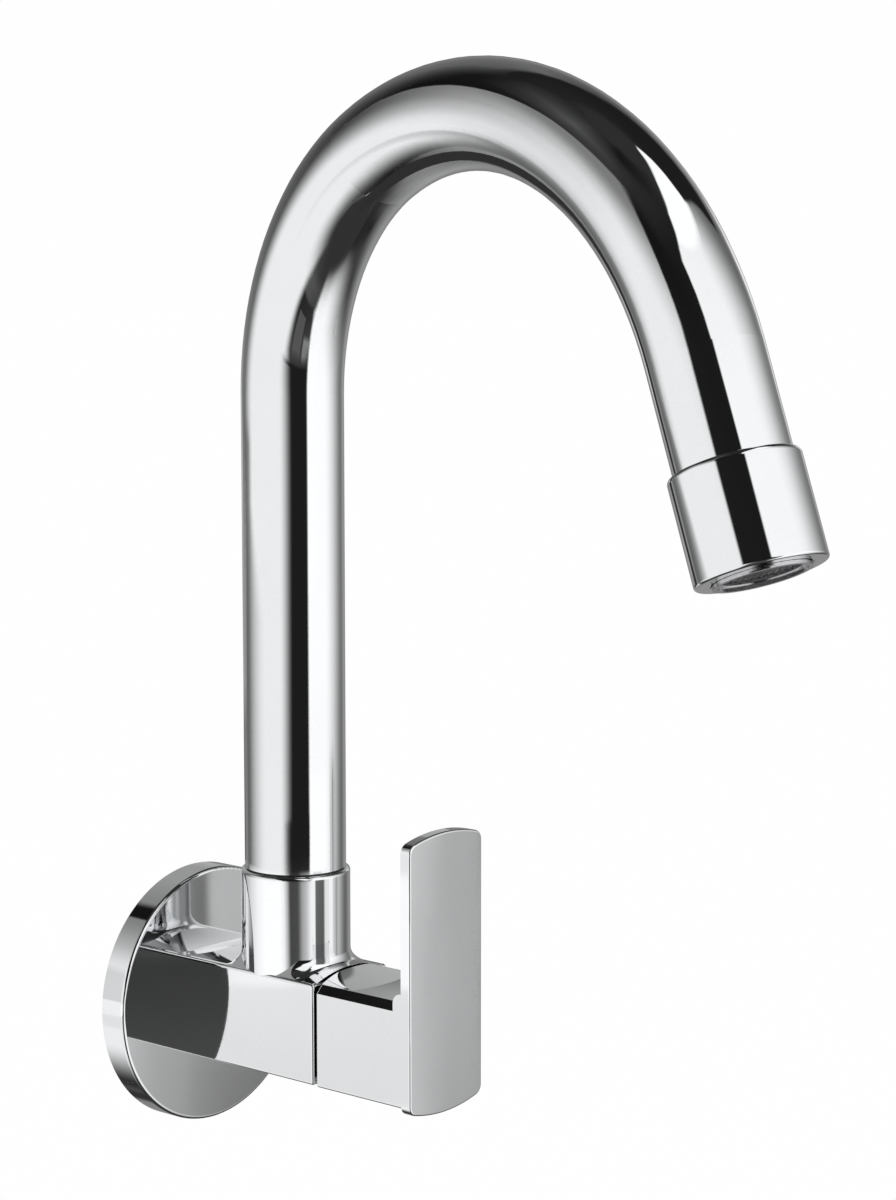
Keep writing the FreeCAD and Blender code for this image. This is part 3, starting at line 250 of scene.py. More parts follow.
def card_finish(name, clear_at=None, solid_at=None, one_way=False):
    """A card's material. A honeycomb is clear at one slant and solid at the other."""
    material, tree = blank_material(name)
    tone = add(tree, "ShaderNodeAttribute", attribute_name="tone").outputs["Fac"]
    solid = add(tree, "ShaderNodeAttribute", attribute_name="cover").outputs["Fac"]
    if clear_at is not None:
        slant = add(tree, "ShaderNodeLayerWeight", Blend=0.5).outputs["Facing"]
        square = add(tree, "ShaderNodeMapRange", Value=slant, From_Min=clear_at, From_Max=solid_at)
        solid = calc(tree, "MULTIPLY", square.outputs["Result"], solid)
    if one_way:
        side = add(tree, "ShaderNodeNewGeometry")
        solid = calc(tree, "SUBTRACT", solid, side.outputs["Backfacing"], use_clamp=True)
    glow = add(tree, "ShaderNodeEmission", Color=tone, Strength=1.0)
    return show(material, mixed(tree, solid, add(tree, "ShaderNodeBsdfTransparent"), glow))


plain_card = card_finish("plain_card")
honeycomb_card = card_finish("honeycomb_card", **HONEYCOMB)
one_way_card = card_finish("one_way_card", **HONEYCOMB, one_way=True)
one_way_plain = card_finish("one_way_plain", one_way=True)
print("card materials made")

# %% Tones, fades and rows
CHROME_LEVEL = 0.845


def linear(tone):
    """A tone as a screen shows it, from 0 to 1, as the amount of light that it stands for."""
    return tone / 12.92 if tone < 0.04045 else ((tone + 0.055) / 1.055) ** 2.4


def eased(share):
    """From 0 to 1 with a gentle start and end."""
    share = max(0.0, min(1.0, share))
    return share * share * (3.0 - 2.0 * share)


def blend(first, second, share):
    return [a + (b - a) * share for a, b in zip(first, second)]


def row(height, places, tones, covers=None):
    """A height and its stops. A stop is a place across, a tone and a cover. One tone can stand for all. The
    covers are digits, 0 for clear and 1 for solid. Left out, the two ends are clear and the rest is solid."""
    if not isinstance(tones, tuple):
        tones = (tones,) * len(places)
    covers = covers or "0" + "1" * (len(places) - 2) + "0"
    return (height, *zip(places, tones, map(int, covers)))


print("a tone of 0.5 is", round(linear(0.5), 3), "of the light")

# %% [markdown]
# A card is a sheet of points between its rows. Stops join up from row to row, and tones and covers change
# evenly between them. The chrome gives back a little less than it gets, so a tone is raised by that much
# and is then what the chrome shows.


# %% Sheets
def mirror_only(name, points, faces, finish):
    """A mesh object that only mirror rays see."""
    made = made_of(name, points, faces, finish)
    made.visible_camera = False
    made.visible_diffuse = False
    made.visible_transmission = False
    made.visible_shadow = False
    return made


def sheet(name, rows, spot, steps, finish):
    """A card. Spot turns a place and a height into a point. The steps are the greatest distance from point
    to point, across and up."""
    spans = []
    for index in range(1, len(rows[0]) - 1):
        widest = max(stops[index + 1][0] - stops[index][0] for stops in rows)
        spans.append(max(1, round(widest / steps[0])))
    points, tones, covers, lines = [], [], [], 0
    for low, high in zip(rows, rows[1:]):
        count = max(1, round((high[0] - low[0]) / steps[1]))
        last = high is rows[-1]
        for part in range(count + last):
            share = part / count
            height = low[0] + (high[0] - low[0]) * share
            stops = [blend(a, b, share) for a, b in zip(low[1:], high[1:])]
            values = [stops[0]]
            for index, span in enumerate(spans):
                values += [blend(stops[index], stops[index + 1], step / span) for step in range(1, span + 1)]
            points += [spot(place, height) for place, tone, cover in values]
            tones += [linear(tone) / CHROME_LEVEL for place, tone, cover in values]
            covers += [eased(cover) for place, tone, cover in values]
            lines += 1
    across = sum(spans) + 1
    starts = [line * across + place for line in range(lines - 1) for place in range(across - 1)]
    faces = [(start, start + 1, start + across + 1, start + across) for start in starts]
    made = mirror_only(name, points, faces, finish)
    for label, values in (("tone", tones), ("cover", covers)):
        made.data.attributes.new(label, "FLOAT", "POINT").data.foreach_set("value", values)


print("ready for cards")

# %% [markdown]
# Most cards are patches of a big ball around the tap, cut like a sail. A row's height is an angle above the
# horizon. A place across is a compass angle: 0 is straight out of the wall, plus is towards +X. A low layer
# lies in front of a high one.

# %% A card on the ball
CARD_CENTRE = Vector((0.0, -0.10, 0.13))
CARD_DISTANCE = 2.0
CARD_FLOOR_GAP = 0.05
CARD_STEPS = (2.0, 2.0)
LAYER_STEP = 0.01
LAYER_RISE = 0.004
BACK_LAYER = 9


def ray_towards(turn, rise=0.0):
    """A line one metre long at a compass angle and an angle above the horizon."""
    turn, rise = radians(turn), radians(rise)
    return Vector((sin(turn) * cos(rise), -cos(turn) * cos(rise), sin(rise)))


def ball_card(name, layer, rows):
    reach = CARD_DISTANCE + LAYER_STEP * layer
    room = CARD_CENTRE.z - FLOOR_LEVEL - CARD_FLOOR_GAP - LAYER_RISE * (BACK_LAYER - layer)

    def spot(turn, rise):
        ray = ray_towards(turn, rise)
        near = min(reach, room / -ray.z) if ray.z < 0.0 else reach
        return tuple(CARD_CENTRE + ray * near)

    sheet(name, rows, spot, CARD_STEPS, plain_card)


# %% [markdown]
# First the dark surround: the ceiling, the ground, and the dim far left. The left and the front stay open,
# and there the chrome mirrors the white background. The edges fade over many degrees, which gives round
# tubes their soft shading.

# %% Ceiling and ground
ball_card("card_ceiling", 9, [
    (58, (-180, 0.17, 0), (180, 0.17, 0)),
    (68, (-180, 0.17, 1), (180, 0.17, 1)),
    (90, (-180, 0.18, 1), (180, 0.18, 1)),
])
ball_card("card_ground", 9, [
    (-90, (-180, 0.19, 1), (180, 0.19, 1)),
    (-72, (-180, 0.19, 1), (180, 0.19, 1)),
    (-44, (-180, 0.19, 0), (180, 0.19, 0)),
])
ball_card("card_ground_front", 8, [
    (-90, (-30, 0.19, 1), (130, 0.19, 1)),
    (-70, (-24, 0.19, 1), (120, 0.19, 1)),
    (-36, (-16, 0.19, 0), (100, 0.19, 0)),
])
print("ceiling and ground")

# %% The far left
ball_card("card_far_left", 8, [
    (-66, (-180, 0.16, 1), (-104, 0.16, 0)),
    (-54, (-180, 0.12, 1), (-118, 0.14, 0)),
    (-44, (-180, 0.20, 1), (-134, 0.20, 0)),
    (-30, (-180, 0.48, 1), (-152, 0.50, 0)),
    (-20, (-180, 0.55, 1), (-166, 0.60, 0)),
    (-10, (-180, 0.52, 1), (-153, 0.60, 0)),
    (0, (-180, 0.42, 1), (-145, 0.55, 0)),
    (12, (-180, 0.28, 1), (-128, 0.45, 0)),
    (24, (-180, 0.14, 1), (-122, 0.35, 0)),
    (40, (-180, 0.08, 1), (-140, 0.30, 0)),
])
ball_card("card_left_dusk", 7, [
    (12, (-180, 0.48, 0), (-84, 0.48, 0)),
    (43, (-180, 0.48, 1), (-96, 0.48, 1)),
    (52, (-180, 0.48, 1), (-96, 0.48, 1)),
])
ball_card("card_left_top", 6, [
    row(27, (-180, -180, -180, -177), 0.09, "1110"),
    row(30, (-180, -179, -178, -174), (0.09, 0.08, 0.08, 0.08), "1110"),
    row(36, (-180, -174, -168, -164), (0.09, 0.07, 0.07, 0.07), "1110"),
    row(42, (-180, -166, -153, -149), 0.08, "1110"),
    row(46, (-180, -160, -142, -134), (0.08, 0.10, 0.14, 0.14), "1110"),
    row(49, (-180, -150, -122, -106), (0.08, 0.18, 0.22, 0.22), "1110"),
    row(51, (-180, -140, -100, -92), (0.09, 0.22, 0.20, 0.20), "1110"),
    row(60, (-180, -133, -96, -84), (0.15, 0.32, 0.18, 0.18), "1110"),
    row(67, (-180, -133, -96, -84), (0.16, 0.26, 0.16, 0.16), "1110"),
    row(78, (-180, -133, -96, -84), (0.15, 0.17, 0.12, 0.14), "1110"),
])
print("far left")

# %% [markdown]
# Then the lit cards, a tall one in front on the right and one above it. They are brighter than the white
# background, and give the tube, the turret and the collar their brightest stripe.

# %% The lit cards
ball_card("card_lit_front", 6, [
    row(-70, (-16, -12, 60, 96), 0.90, "0000"),
    row(-38, (-16, -12, 60, 96), 0.98),
    row(2, (-17, -13, 60, 96), 1.00),
    row(24, (-41, -36, 60, 96), (0.98, 0.98, 0.97, 0.97)),
    row(38, (-48, -44, 60, 96), 0.96),
    row(60, (-52, -48, 50, 56), (0.95, 0.95, 0.93, 0.93)),
])
ball_card("card_lit_high", 5, [
    row(56, (-50, -46, 44, 48), 1.00, "0000"),
    row(58, (-47, -42, 48, 52), 1.00),
    row(66, (-37, -30, 60, 66), 1.00),
    row(72, (-22, -8, 66, 72), 1.00),
    row(75, (-4, 10, 68, 74), 1.00),
    row(77, (20, 34, 60, 66), 1.00, "0000"),
])
print("two lit cards")

# %% [markdown]
# The right side of the room is grey. Its card starts clear in front and thickens to the right, and further
# round it is a pale dome with a black corner cut out of the top.

# %% The right side
ball_card("card_right", 4, [
    row(-66, (20, 80, 100, 130, 152, 180), (0.17, 0.15, 0.15, 0.16, 0.16, 0.16), "011111"),
    row(-58, (20, 80, 100, 130, 152, 180), (0.17, 0.16, 0.15, 0.20, 0.25, 0.12), "011111"),
    row(-48, (14, 80, 100, 130, 152, 180), (0.25, 0.22, 0.14, 0.42, 0.50, 0.13), "011111"),
    row(-40, (12, 80, 100, 130, 152, 180), (0.25, 0.24, 0.32, 0.52, 0.50, 0.40), "011111"),
    row(-30, (12, 80, 100, 130, 152, 180), (0.30, 0.25, 0.45, 0.57, 0.45, 0.54), "011111"),
    row(-20, (20, 82, 100, 130, 152, 180), (0.35, 0.35, 0.52, 0.60, 0.50, 0.55), "011111"),
    row(-10, (26, 90, 104, 130, 152, 180), (0.36, 0.44, 0.57, 0.48, 0.50, 0.42), "011111"),
    row(0, (28, 92, 104, 130, 152, 180), (0.36, 0.44, 0.60, 0.45, 0.50, 0.43), "011111"),
    row(12, (26, 88, 102, 130, 152, 180), (0.38, 0.47, 0.74, 0.42, 0.40, 0.32), "011111"),
    row(24, (22, 84, 100, 130, 152, 180), (0.40, 0.38, 0.45, 0.50, 0.36, 0.16), "011111"),
    row(33, (12, 80, 100, 130, 152, 180), (0.40, 0.38, 0.30, 0.42, 0.38, 0.10), "011111"),
    row(42, (4, 80, 100, 130, 152, 180), (0.40, 0.36, 0.20, 0.40, 0.36, 0.08), "011111"),
    row(50, (0, 80, 100, 130, 152, 180), (0.40, 0.36, 0.14, 0.38, 0.33, 0.07), "011111"),
    row(54, (0, 80, 100, 130, 152, 180), (0.40, 0.34, 0.12, 0.22, 0.20, 0.10), "011111"),
    row(57, (0, 80, 100, 130, 152, 180), (0.40, 0.34, 0.12, 0.11, 0.11, 0.12), "001111"),
])
ball_card("card_right_corner", 3, [
    row(26, (83, 86, 90, 94), 0.25, "0000"),
    row(28, (82, 85, 92, 98), 0.16),
    row(34, (77, 80, 96, 104), 0.11),
    row(42, (72, 75, 104, 114), 0.11),
    row(48, (65, 69, 108, 124), 0.11),
    row(53, (57, 61, 122, 150), 0.11),
    row(57, (50, 54, 170, 180), (0.11, 0.11, 0.11, 0.12), "0111"),
    row(60, (52, 56, 170, 180), (0.11, 0.11, 0.12, 0.15), "0111"),
    row(66, (62, 66, 170, 180), (0.11, 0.11, 0.13, 0.16), "0111"),
    row(72, (68, 72, 170, 180), (0.13, 0.13, 0.13, 0.15), "0111"),
    row(80, (80, 90, 170, 180), (0.17, 0.17, 0.15, 0.15), "0000"),
])
ball_card("card_right_line", 3, [
    row(-58, (154, 162, 168, 176), 0.17, "0000"),
    row(-48, (154, 161, 166, 173), 0.20),
    row(-30, (151, 157, 162, 168), 0.16),
    row(-14, (146, 151, 155, 160), 0.18),
    row(-9, (144, 149, 153, 158), 0.20, "0000"),
])
print("right side")

# %% [markdown]
# Last the black cards in front, which draw the lines. The narrow gap between the two bright sides makes the
# stripe on the tube and on the collar. It slants to the left as it rises, and that makes the cap over the
# arch. Grey cards under it show in the inside of the bend.

# %% The black and grey cards in front
ball_card("card_low_gap", 4, [
    row(-76, (-90, -70, -14, -2), 0.19),
    row(-60, (-84, -62, -16, 0), (0.24, 0.24, 0.20, 0.20)),
    row(-54, (-81, -60, -18, -2), (0.33, 0.33, 0.27, 0.27)),
    row(-46, (-79, -61, -22, -8), (0.32, 0.32, 0.25, 0.28)),
    row(-44, (-78, -61, -24, -11), (0.15, 0.15, 0.18, 0.20)),
    row(-38, (-77, -61, -20, -13), (0.15, 0.15, 0.20, 0.20)),
    row(-30, (-76, -60, -19, -13), (0.18, 0.20, 0.24, 0.24)),
    row(-20, (-76, -59, -19, -13), 0.24),
    row(-14, (-78, -54, -18, -13), (0.20, 0.20, 0.18, 0.18)),
])
ball_card("card_gap_left", 3, [
    row(-38, (-58, -56, -38, -36), 0.32),
    row(-22, (-58, -56, -38, -36), 0.33),
    row(-17, (-58, -56, -38, -36), 0.26, "0000"),
])
ball_card("card_gap_right", 3, [
    row(-31, (-34, -31, -18, -15), 0.44, "0000"),
    row(-28, (-34, -31, -18, -15), 0.50),
    row(-21, (-34, -31, -18, -15), (0.48, 0.48, 0.40, 0.40)),
    row(-17, (-34, -31, -18, -15), (0.40, 0.40, 0.30, 0.30), "0000"),
])
ball_card("card_stripe", 2, [
    row(-16.5, (-84, -53, -17, -12.5), 0.11, "0000"),
    row(-15, (-84, -53, -17, -12.5), 0.11),
    row(-5, (-80, -49.5, -17, -12.5), 0.11),
    row(0, (-80, -49, -17, -12.5), 0.11),
    row(7, (-82, -50, -22, -18), 0.11),
])
ball_card("card_slant", 1, [
    row(1, (-66, -60, -20, -16), 0.10, "0000"),
    row(4, (-70, -64, -22, -18), 0.10),
    row(10, (-84, -78, -27, -23), (0.11, 0.11, 0.10, 0.10)),
    row(18, (-90, -84, -35, -31), (0.11, 0.11, 0.09, 0.09)),
    row(24, (-93, -87, -38, -34), (0.11, 0.11, 0.10, 0.10)),
    row(31, (-98, -94, -39, -35), (0.09, 0.09, 0.10, 0.10)),
    row(36, (-101, -97, -44, -40), (0.08, 0.08, 0.10, 0.10)),
    row(43, (-104, -99, -48, -44), (0.08, 0.08, 0.10, 0.10)),
    row(50, (-110, -98, -54, -50), (0.16, 0.14, 0.10, 0.10)),
    row(54, (-110, -96, -50, -46), (0.19, 0.16, 0.10, 0.10)),
    row(60, (-110, -92, -42, -37), (0.20, 0.17, 0.11, 0.11)),
    row(66, (-110, -90, -36, -30), (0.18, 0.16, 0.13, 0.13)),
    row(72, (-110, -94, -22, -8), (0.10, 0.09, 0.16, 0.16)),
    row(78, (-110, -94, 0, 20), (0.12, 0.10, 0.18, 0.18)),
    row(84, (-110, -94, 0, 20), (0.16, 0.16, 0.19, 0.19), "0000"),
])
print("front cards")

# %% [markdown]
# A few small lit cards stand behind the tap's right side. They give its far edges a thin bright line.

# %% Small cards on the right
ball_card("card_right_glint", 3, [
    row(0, (96, 100, 110, 116), (0.86, 0.86, 0.80, 0.80), "0000"),
    row(6, (97, 101, 108, 114), (0.90, 0.90, 0.84, 0.84)),
    row(14, (94, 98, 105, 110), (0.90, 0.90, 0.84, 0.84)),
    row(20, (92, 95, 100, 104), (0.80, 0.80, 0.76, 0.76), "0000"),
])
ball_card("card_back_glint", 2, [
    row(-10, (149, 153, 158, 164), 0.88, "0000"),
    row(-6, (149, 153, 157, 164), 0.88),
    row(2, (150, 153, 158, 164), 0.88, "0000"),
])
print("two small lit cards")

# %% [markdown]
# Two honeycomb cards hang close by. A flat face mirrors only a small piece of the room. The lever's plate
# and the wall flange both look low to the right, and without a card there they would come out plain white.
# That card gets darker to the right and down, and the flat faces take their gentle shading from it. A dim
# patch in it shows only in the flange's left part. The other card lies flat under the arch. The inside of
# the bend looks straight down, and this card hides the tap's own body from it.

# %% The near cards
UP = Vector((0.0, 0.0, 1.0))
NEAR_STEPS = (0.006, 0.006)
NEAR_TURN = 49.8
NEAR_DISTANCE = 0.42
NEAR_PLACES = (-0.125, -0.11, -0.079, -0.064, -0.0525, -0.049, -0.0437, -0.0407, -0.036, -0.005, 0.01)
LOW_CARD_LEVEL = 0.062
LOW_PLACES = (-0.05, -0.04, 0.04, 0.05)


def flat_spot(centre, across, up):
    """For a flat card: where a place across and a height lie."""
    return lambda place, height: tuple(centre + across * place + up * height)


def standing_spot(turn, distance):
    """For a flat card that stands upright and looks back at the tap from a compass angle."""
    return flat_spot(ray_towards(turn) * distance, ray_towards(turn + 90.0), UP)


sheet("card_near", [
    row(-0.19, NEAR_PLACES, (0.74, 0.74, 0.71, 0.60, 0.565, 0.53, 0.498, 0.483, 0.46, 0.40, 0.40),
        "00000000000"),
    row(-0.175, NEAR_PLACES, (0.75, 0.75, 0.735, 0.63, 0.593, 0.555, 0.521, 0.505, 0.48, 0.40, 0.40)),
    row(-0.145, NEAR_PLACES, (0.76, 0.76, 0.735, 0.64, 0.608, 0.575, 0.546, 0.532, 0.51, 0.42, 0.42)),
    row(-0.125, NEAR_PLACES, (0.77, 0.77, 0.755, 0.65, 0.633, 0.615, 0.599, 0.592, 0.58, 0.50, 0.50)),
    row(-0.085, NEAR_PLACES, (0.78, 0.78, 0.755, 0.67, 0.66, 0.46, 0.42, 0.70, 0.70, 0.68, 0.68)),
    row(-0.03, NEAR_PLACES, (0.80, 0.80, 0.775, 0.67, 0.66, 0.46, 0.42, 0.70, 0.70, 0.70, 0.70)),
    row(-0.015, NEAR_PLACES, (0.84, 0.84, 0.84, 0.68, 0.66, 0.46, 0.42, 0.70, 0.70, 0.70, 0.70)),
    row(0.005, NEAR_PLACES, (0.84, 0.84, 0.84, 0.80, 0.80, 0.80, 0.80, 0.80, 0.80, 0.80, 0.80),
        "00000000000"),
], standing_spot(NEAR_TURN, NEAR_DISTANCE), NEAR_STEPS, honeycomb_card)
low_spot = flat_spot(UP * LOW_CARD_LEVEL, Vector((1.0, 0.0, 0.0)), Vector((0.0, 1.0, 0.0)))
sheet("card_under_arch", [
    row(-0.21, LOW_PLACES, 0.19, "0000"),
    row(-0.2, LOW_PLACES, 0.19),
    row(-0.03, LOW_PLACES, 0.19),
    row(-0.02, LOW_PLACES, 0.19, "0000"),
], low_spot, NEAR_STEPS, honeycomb_card)
print("two near cards")

# %% [markdown]
# Three more honeycomb cards stand on the left. One is bent round the turret, which shows a narrower stripe
# than the tube, between brighter sides. It hangs so low that the tube above looks over it. One is bent
# round the tube and shades its far left edge, but hangs too low for the arch to see. The third is flat, and
# takes a little brightness off the block's left face.

# %% The cards on the left
TURRET_AXIS = Vector((0.0, -0.0355, 0.0))
ROUND_STEPS = (2.0, 0.004)
TURRET_CARD_DISTANCE = 0.25
TUBE_CARD_DISTANCE = 0.30
ROUND_STOPS = [
    (-180, 0.62, 0), (-172, 0.68, 1), (-151, 0.86, 1), (-131, 0.96, 1), (-113, 1.0, 1), (-79, 1.0, 1),
    (-71, 0.94, 1), (-64, 0.70, 1), (-58, 0.27, 1), (-43, 0.29, 1), (-34, 0.62, 1), (-24, 0.76, 1),
    (-16, 0.94, 1), (0, 0.97, 1), (24, 0.91, 1), (30, 0.91, 0),
]
EDGE_STOPS = [(-180, 0.38, 1), (-146, 0.40, 0.5), (-112, 0.42, 0)]
EDGE_STOPS_HIGH = [(-180, 0.38, 1), (-164, 0.46, 0.75), (-146, 0.60, 0)]


def faded(stops):
    return [(turn, tone, 0) for turn, tone, cover in stops]


def bent_card(name, distance, rows):
    """A honeycomb card bent round the turret's axis. A row is a height and its stops."""

    def spot(turn, height):
        return tuple(TURRET_AXIS + ray_towards(turn) * distance + UP * height)

    sheet(name, [(height, *stops) for height, stops in rows], spot, ROUND_STEPS, honeycomb_card)


bent_card("card_round_turret", TURRET_CARD_DISTANCE, [
    (-0.056, faded(ROUND_STOPS)), (-0.053, ROUND_STOPS), (-0.018, ROUND_STOPS), (-0.015, faded(ROUND_STOPS)),
])
bent_card("card_round_tube", TUBE_CARD_DISTANCE, [
    (-0.030, faded(EDGE_STOPS)), (-0.026, EDGE_STOPS), (0.060, EDGE_STOPS), (0.100, EDGE_STOPS_HIGH),
    (0.120, EDGE_STOPS_HIGH), (0.134, faded(EDGE_STOPS_HIGH)),
])

BLOCK_TURN = -130.0
BLOCK_DISTANCE = 0.30
BLOCK_PLACES = (-0.16, -0.13, 0.09, 0.12)

sheet("card_left_of_block", [
    row(-0.125, BLOCK_PLACES, 0.87, "0000"),
    row(-0.115, BLOCK_PLACES, 0.87),
    row(-0.06, BLOCK_PLACES, 0.90),
    row(-0.054, BLOCK_PLACES, 0.90, "0000"),
], standing_spot(BLOCK_TURN, BLOCK_DISTANCE), NEAR_STEPS, honeycomb_card)
print("three cards on the left")

# %% [markdown]
# The lever's flat top looks up to the right and back. One small grey card stands there, square to what the
# top sees.

# %% The card over the lever
LEVER_TOP = Vector((0.0, -0.065, 0.013))
LEVER_RAY = Vector((0.720, 0.562, 0.407)).normalized()
LEVER_DISTANCE = 0.30
LEVER_PLACES = (-0.06, -0.05, 0.0, 0.05, 0.06)

lever_across = LEVER_RAY.cross(UP).normalized()
over_lever = flat_spot(LEVER_TOP + LEVER_RAY * LEVER_DISTANCE, lever_across, lever_across.cross(LEVER_RAY))
sheet("card_over_lever", [
    row(-0.052, LEVER_PLACES, (0.58, 0.58, 0.66, 0.70, 0.70), "00000"),
    row(-0.042, LEVER_PLACES, (0.58, 0.58, 0.66, 0.70, 0.70)),
    row(0.04, LEVER_PLACES, (0.56, 0.56, 0.64, 0.68, 0.68)),
    row(0.05, LEVER_PLACES, (0.56, 0.56, 0.64, 0.68, 0.68), "00000"),
], over_lever, NEAR_STEPS, honeycomb_card)
print("card over the lever")

# %% [markdown]
# The flange's round edge looks up and back, each part of it another way. Its card is a patch of a small ball
# round that edge, with rows and places in degrees like the big cards.

# %% The card over the flange
FLANGE_EDGE = Vector((-0.008, -0.001, 0.030))
FLANGE_DISTANCE = 0.22


def over_flange(turn, rise):
    return tuple(FLANGE_EDGE + ray_towards(turn, rise) * FLANGE_DISTANCE)


sheet("card_over_flange", [
    row(0, (124, 132, 150, 174, 182), (0.68, 0.68, 0.62, 0.54, 0.54), "00000"),
    row(4, (124, 132, 150, 174, 182), (0.66, 0.66, 0.61, 0.54, 0.54)),
    row(20, (124, 132, 150, 180, 188), (0.58, 0.58, 0.59, 0.53, 0.53)),
    row(52, (124, 132, 150, 186, 194), (0.58, 0.58, 0.59, 0.51, 0.51)),
    row(60, (124, 132, 150, 186, 194), (0.58, 0.58, 0.59, 0.51, 0.51), "00000"),
], over_flange, CARD_STEPS, honeycomb_card)
print("card over the flange")

# %% [markdown]
# The tap also looks at itself. The tube's white side would show its own far leg and the back of the lever
# as thin dark lines, so two small one way cards hang in front of them. Their places run towards -X, so that
# their fronts look at the tube. And the underside of the arch would show the tube below as a bright line. A
# dark sleeve just outside the tube stops that. It is one way too: a mirror ray that leaves the tube passes
# through its back. It turns with the spout.

# %% Small cards inside the tap
BEHIND_LEVER = Vector((0.0, -0.078, 0.0))
INSIDE_ARCH = Vector((0.0, -0.095, 0.0))
TO_THE_LEFT = Vector((-1.0, 0.0, 0.0))
SMALL_STEPS = (0.002, 0.01)
BEHIND_PLACES = (-0.0128, -0.006, -0.003, 0.008, 0.0095, 0.0128)
ARCH_PLACES = (-0.004, 0.0, 0.0172, 0.0212, 0.0255, 0.028)
ARCH_TONES = (1.0, 1.0, 1.0, 0.11, 0.11, 0.11)

behind_lever = flat_spot(BEHIND_LEVER, TO_THE_LEFT, UP)
sheet("card_behind_lever", [
    row(0.0124, BEHIND_PLACES, (0.90, 0.88, 0.34, 0.38, 0.95, 0.95), "111111"),
    row(0.0292, BEHIND_PLACES, (0.90, 0.88, 0.36, 0.42, 0.95, 0.95), "111111"),
    row(0.0312, BEHIND_PLACES, 1.00, "111111"),
    row(0.056, BEHIND_PLACES, 1.00, "111111"),
], behind_lever, SMALL_STEPS, one_way_plain)
inside_arch = flat_spot(INSIDE_ARCH, TO_THE_LEFT, UP)
arch_rows = [row(height, ARCH_PLACES, ARCH_TONES) for height in (0.100, 0.190)]
sheet("card_inside_arch", arch_rows, inside_arch, SMALL_STEPS, one_way_card)
print("two cards inside the tap")

# %% The dark sleeve
SLEEVE_GAP = 0.0012
SLEEVE_FOOT = 0.09
SLEEVE_TONE = 0.2

material, tree = blank_material("sleeve")
dark = add(tree, "ShaderNodeEmission", Color=(linear(SLEEVE_TONE),) * 3 + (1.0,), Strength=1.0)
behind = add(tree, "ShaderNodeNewGeometry").outputs["Backfacing"]
show(material, mixed(tree, behind, dark, add(tree, "ShaderNodeBsdfTransparent")))

tube = nodes["spout_tube"]
spots = [tube.matrix_world @ (v.co + v.normal * SLEEVE_GAP) for v in tube.data.vertices]
sleeve_faces = [tuple(p.vertices) for p in tube.data.polygons
                if max(spots[v].z for v in p.vertices) > SLEEVE_FOOT]
sleeve = mirror_only("sleeve", [tuple(spot) for spot in spots], sleeve_faces, material)
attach(sleeve, "spout")
print("sleeve of", len(sleeve_faces), "faces")

# %% [markdown]
# ## Shared surface effects
#
# Real finishes aren't even. Four effects come back in many of the materials, so each is a node group with
# named inputs and outputs, made once. They give a height or a mask from 0 to 1, and each material decides
# what to do with it.

# %% Start a node group
FLOAT = "NodeSocketFloat"
VECTOR = "NodeSocketVector"


def group(name, inputs, outputs):
    """An empty group. Inputs are (name, kind, value), and outputs are names of numbers."""
    made = bpy.data.node_groups.new(name, "ShaderNodeTree")
    for label, kind, value in inputs:
        made.interface.new_socket(label, in_out="INPUT", socket_type=kind).default_value = value
    for label in outputs:
        made.interface.new_socket(label, in_out="OUTPUT", socket_type=FLOAT)
    return made, made.nodes.new("NodeGroupInput").outputs, made.nodes.new("NodeGroupOutput").inputs


def noise(tree, scale, **values):
    """A noise fixed to the part. The scale is the number of hills in a metre."""
    place = add(tree, "ShaderNodeTexCoord").outputs["Object"]
    return add(tree, "ShaderNodeTexNoise", Vector=place, Scale=scale, **values).outputs["Fac"]


# %% [markdown]
# **Polish waves.** A buffing wheel leaves metal smooth to the touch but never flat: a mirrored edge
# wavers a little. A slow noise gives that swell. Its size is a few centimetres here, as on a hand
# polished casting.

# %% Polish waves
polish_waves, given, result = group("polish_waves", [("Size", FLOAT, 0.03)], ["Height"])
swell = noise(polish_waves, calc(polish_waves, "DIVIDE", 1.0, given["Size"]), Detail=1.5, Roughness=0.4)
feed(polish_waves, swell, result["Height"])
print("group polish_waves")

# %% [markdown]
# **Haze.** Wiping leaves cloudy patches where the mirror is a touch duller. A broad noise picks the
# patches and a very fine one breaks them up, and the result is a mask from 0 to 1.

# %% Haze
FINE_HAZE_SCALE = 1800.0

haze, given, result = group("haze", [("Patch Size", FLOAT, 0.02), ("Amount", FLOAT, 0.5)], ["Mask"])
broad = noise(haze, calc(haze, "DIVIDE", 1.0, given["Patch Size"]), Detail=3.0, Roughness=0.6)
fine = noise(haze, FINE_HAZE_SCALE, Detail=2.0)
patches = calc(haze, "MULTIPLY", broad, fine)
spread = add(haze, "ShaderNodeMapRange", Value=patches, From_Min=0.18, From_Max=0.42)
feed(haze, calc(haze, "MULTIPLY", spread.outputs["Result"], given["Amount"]), result["Mask"])
print("group haze")

# %% [markdown]
# **Turning lines.** A lathe tool cuts a very fine groove round and round a part. Seen across the axis
# these are close parallel lines. The group measures how far along the axis a point lies and makes waves
# of it. The feed is the distance from one groove to the next, and a little noise keeps them from being
# perfect.

# %% Turning lines
WANDER_SCALE = 260.0
WANDER_TURNS = 1.6

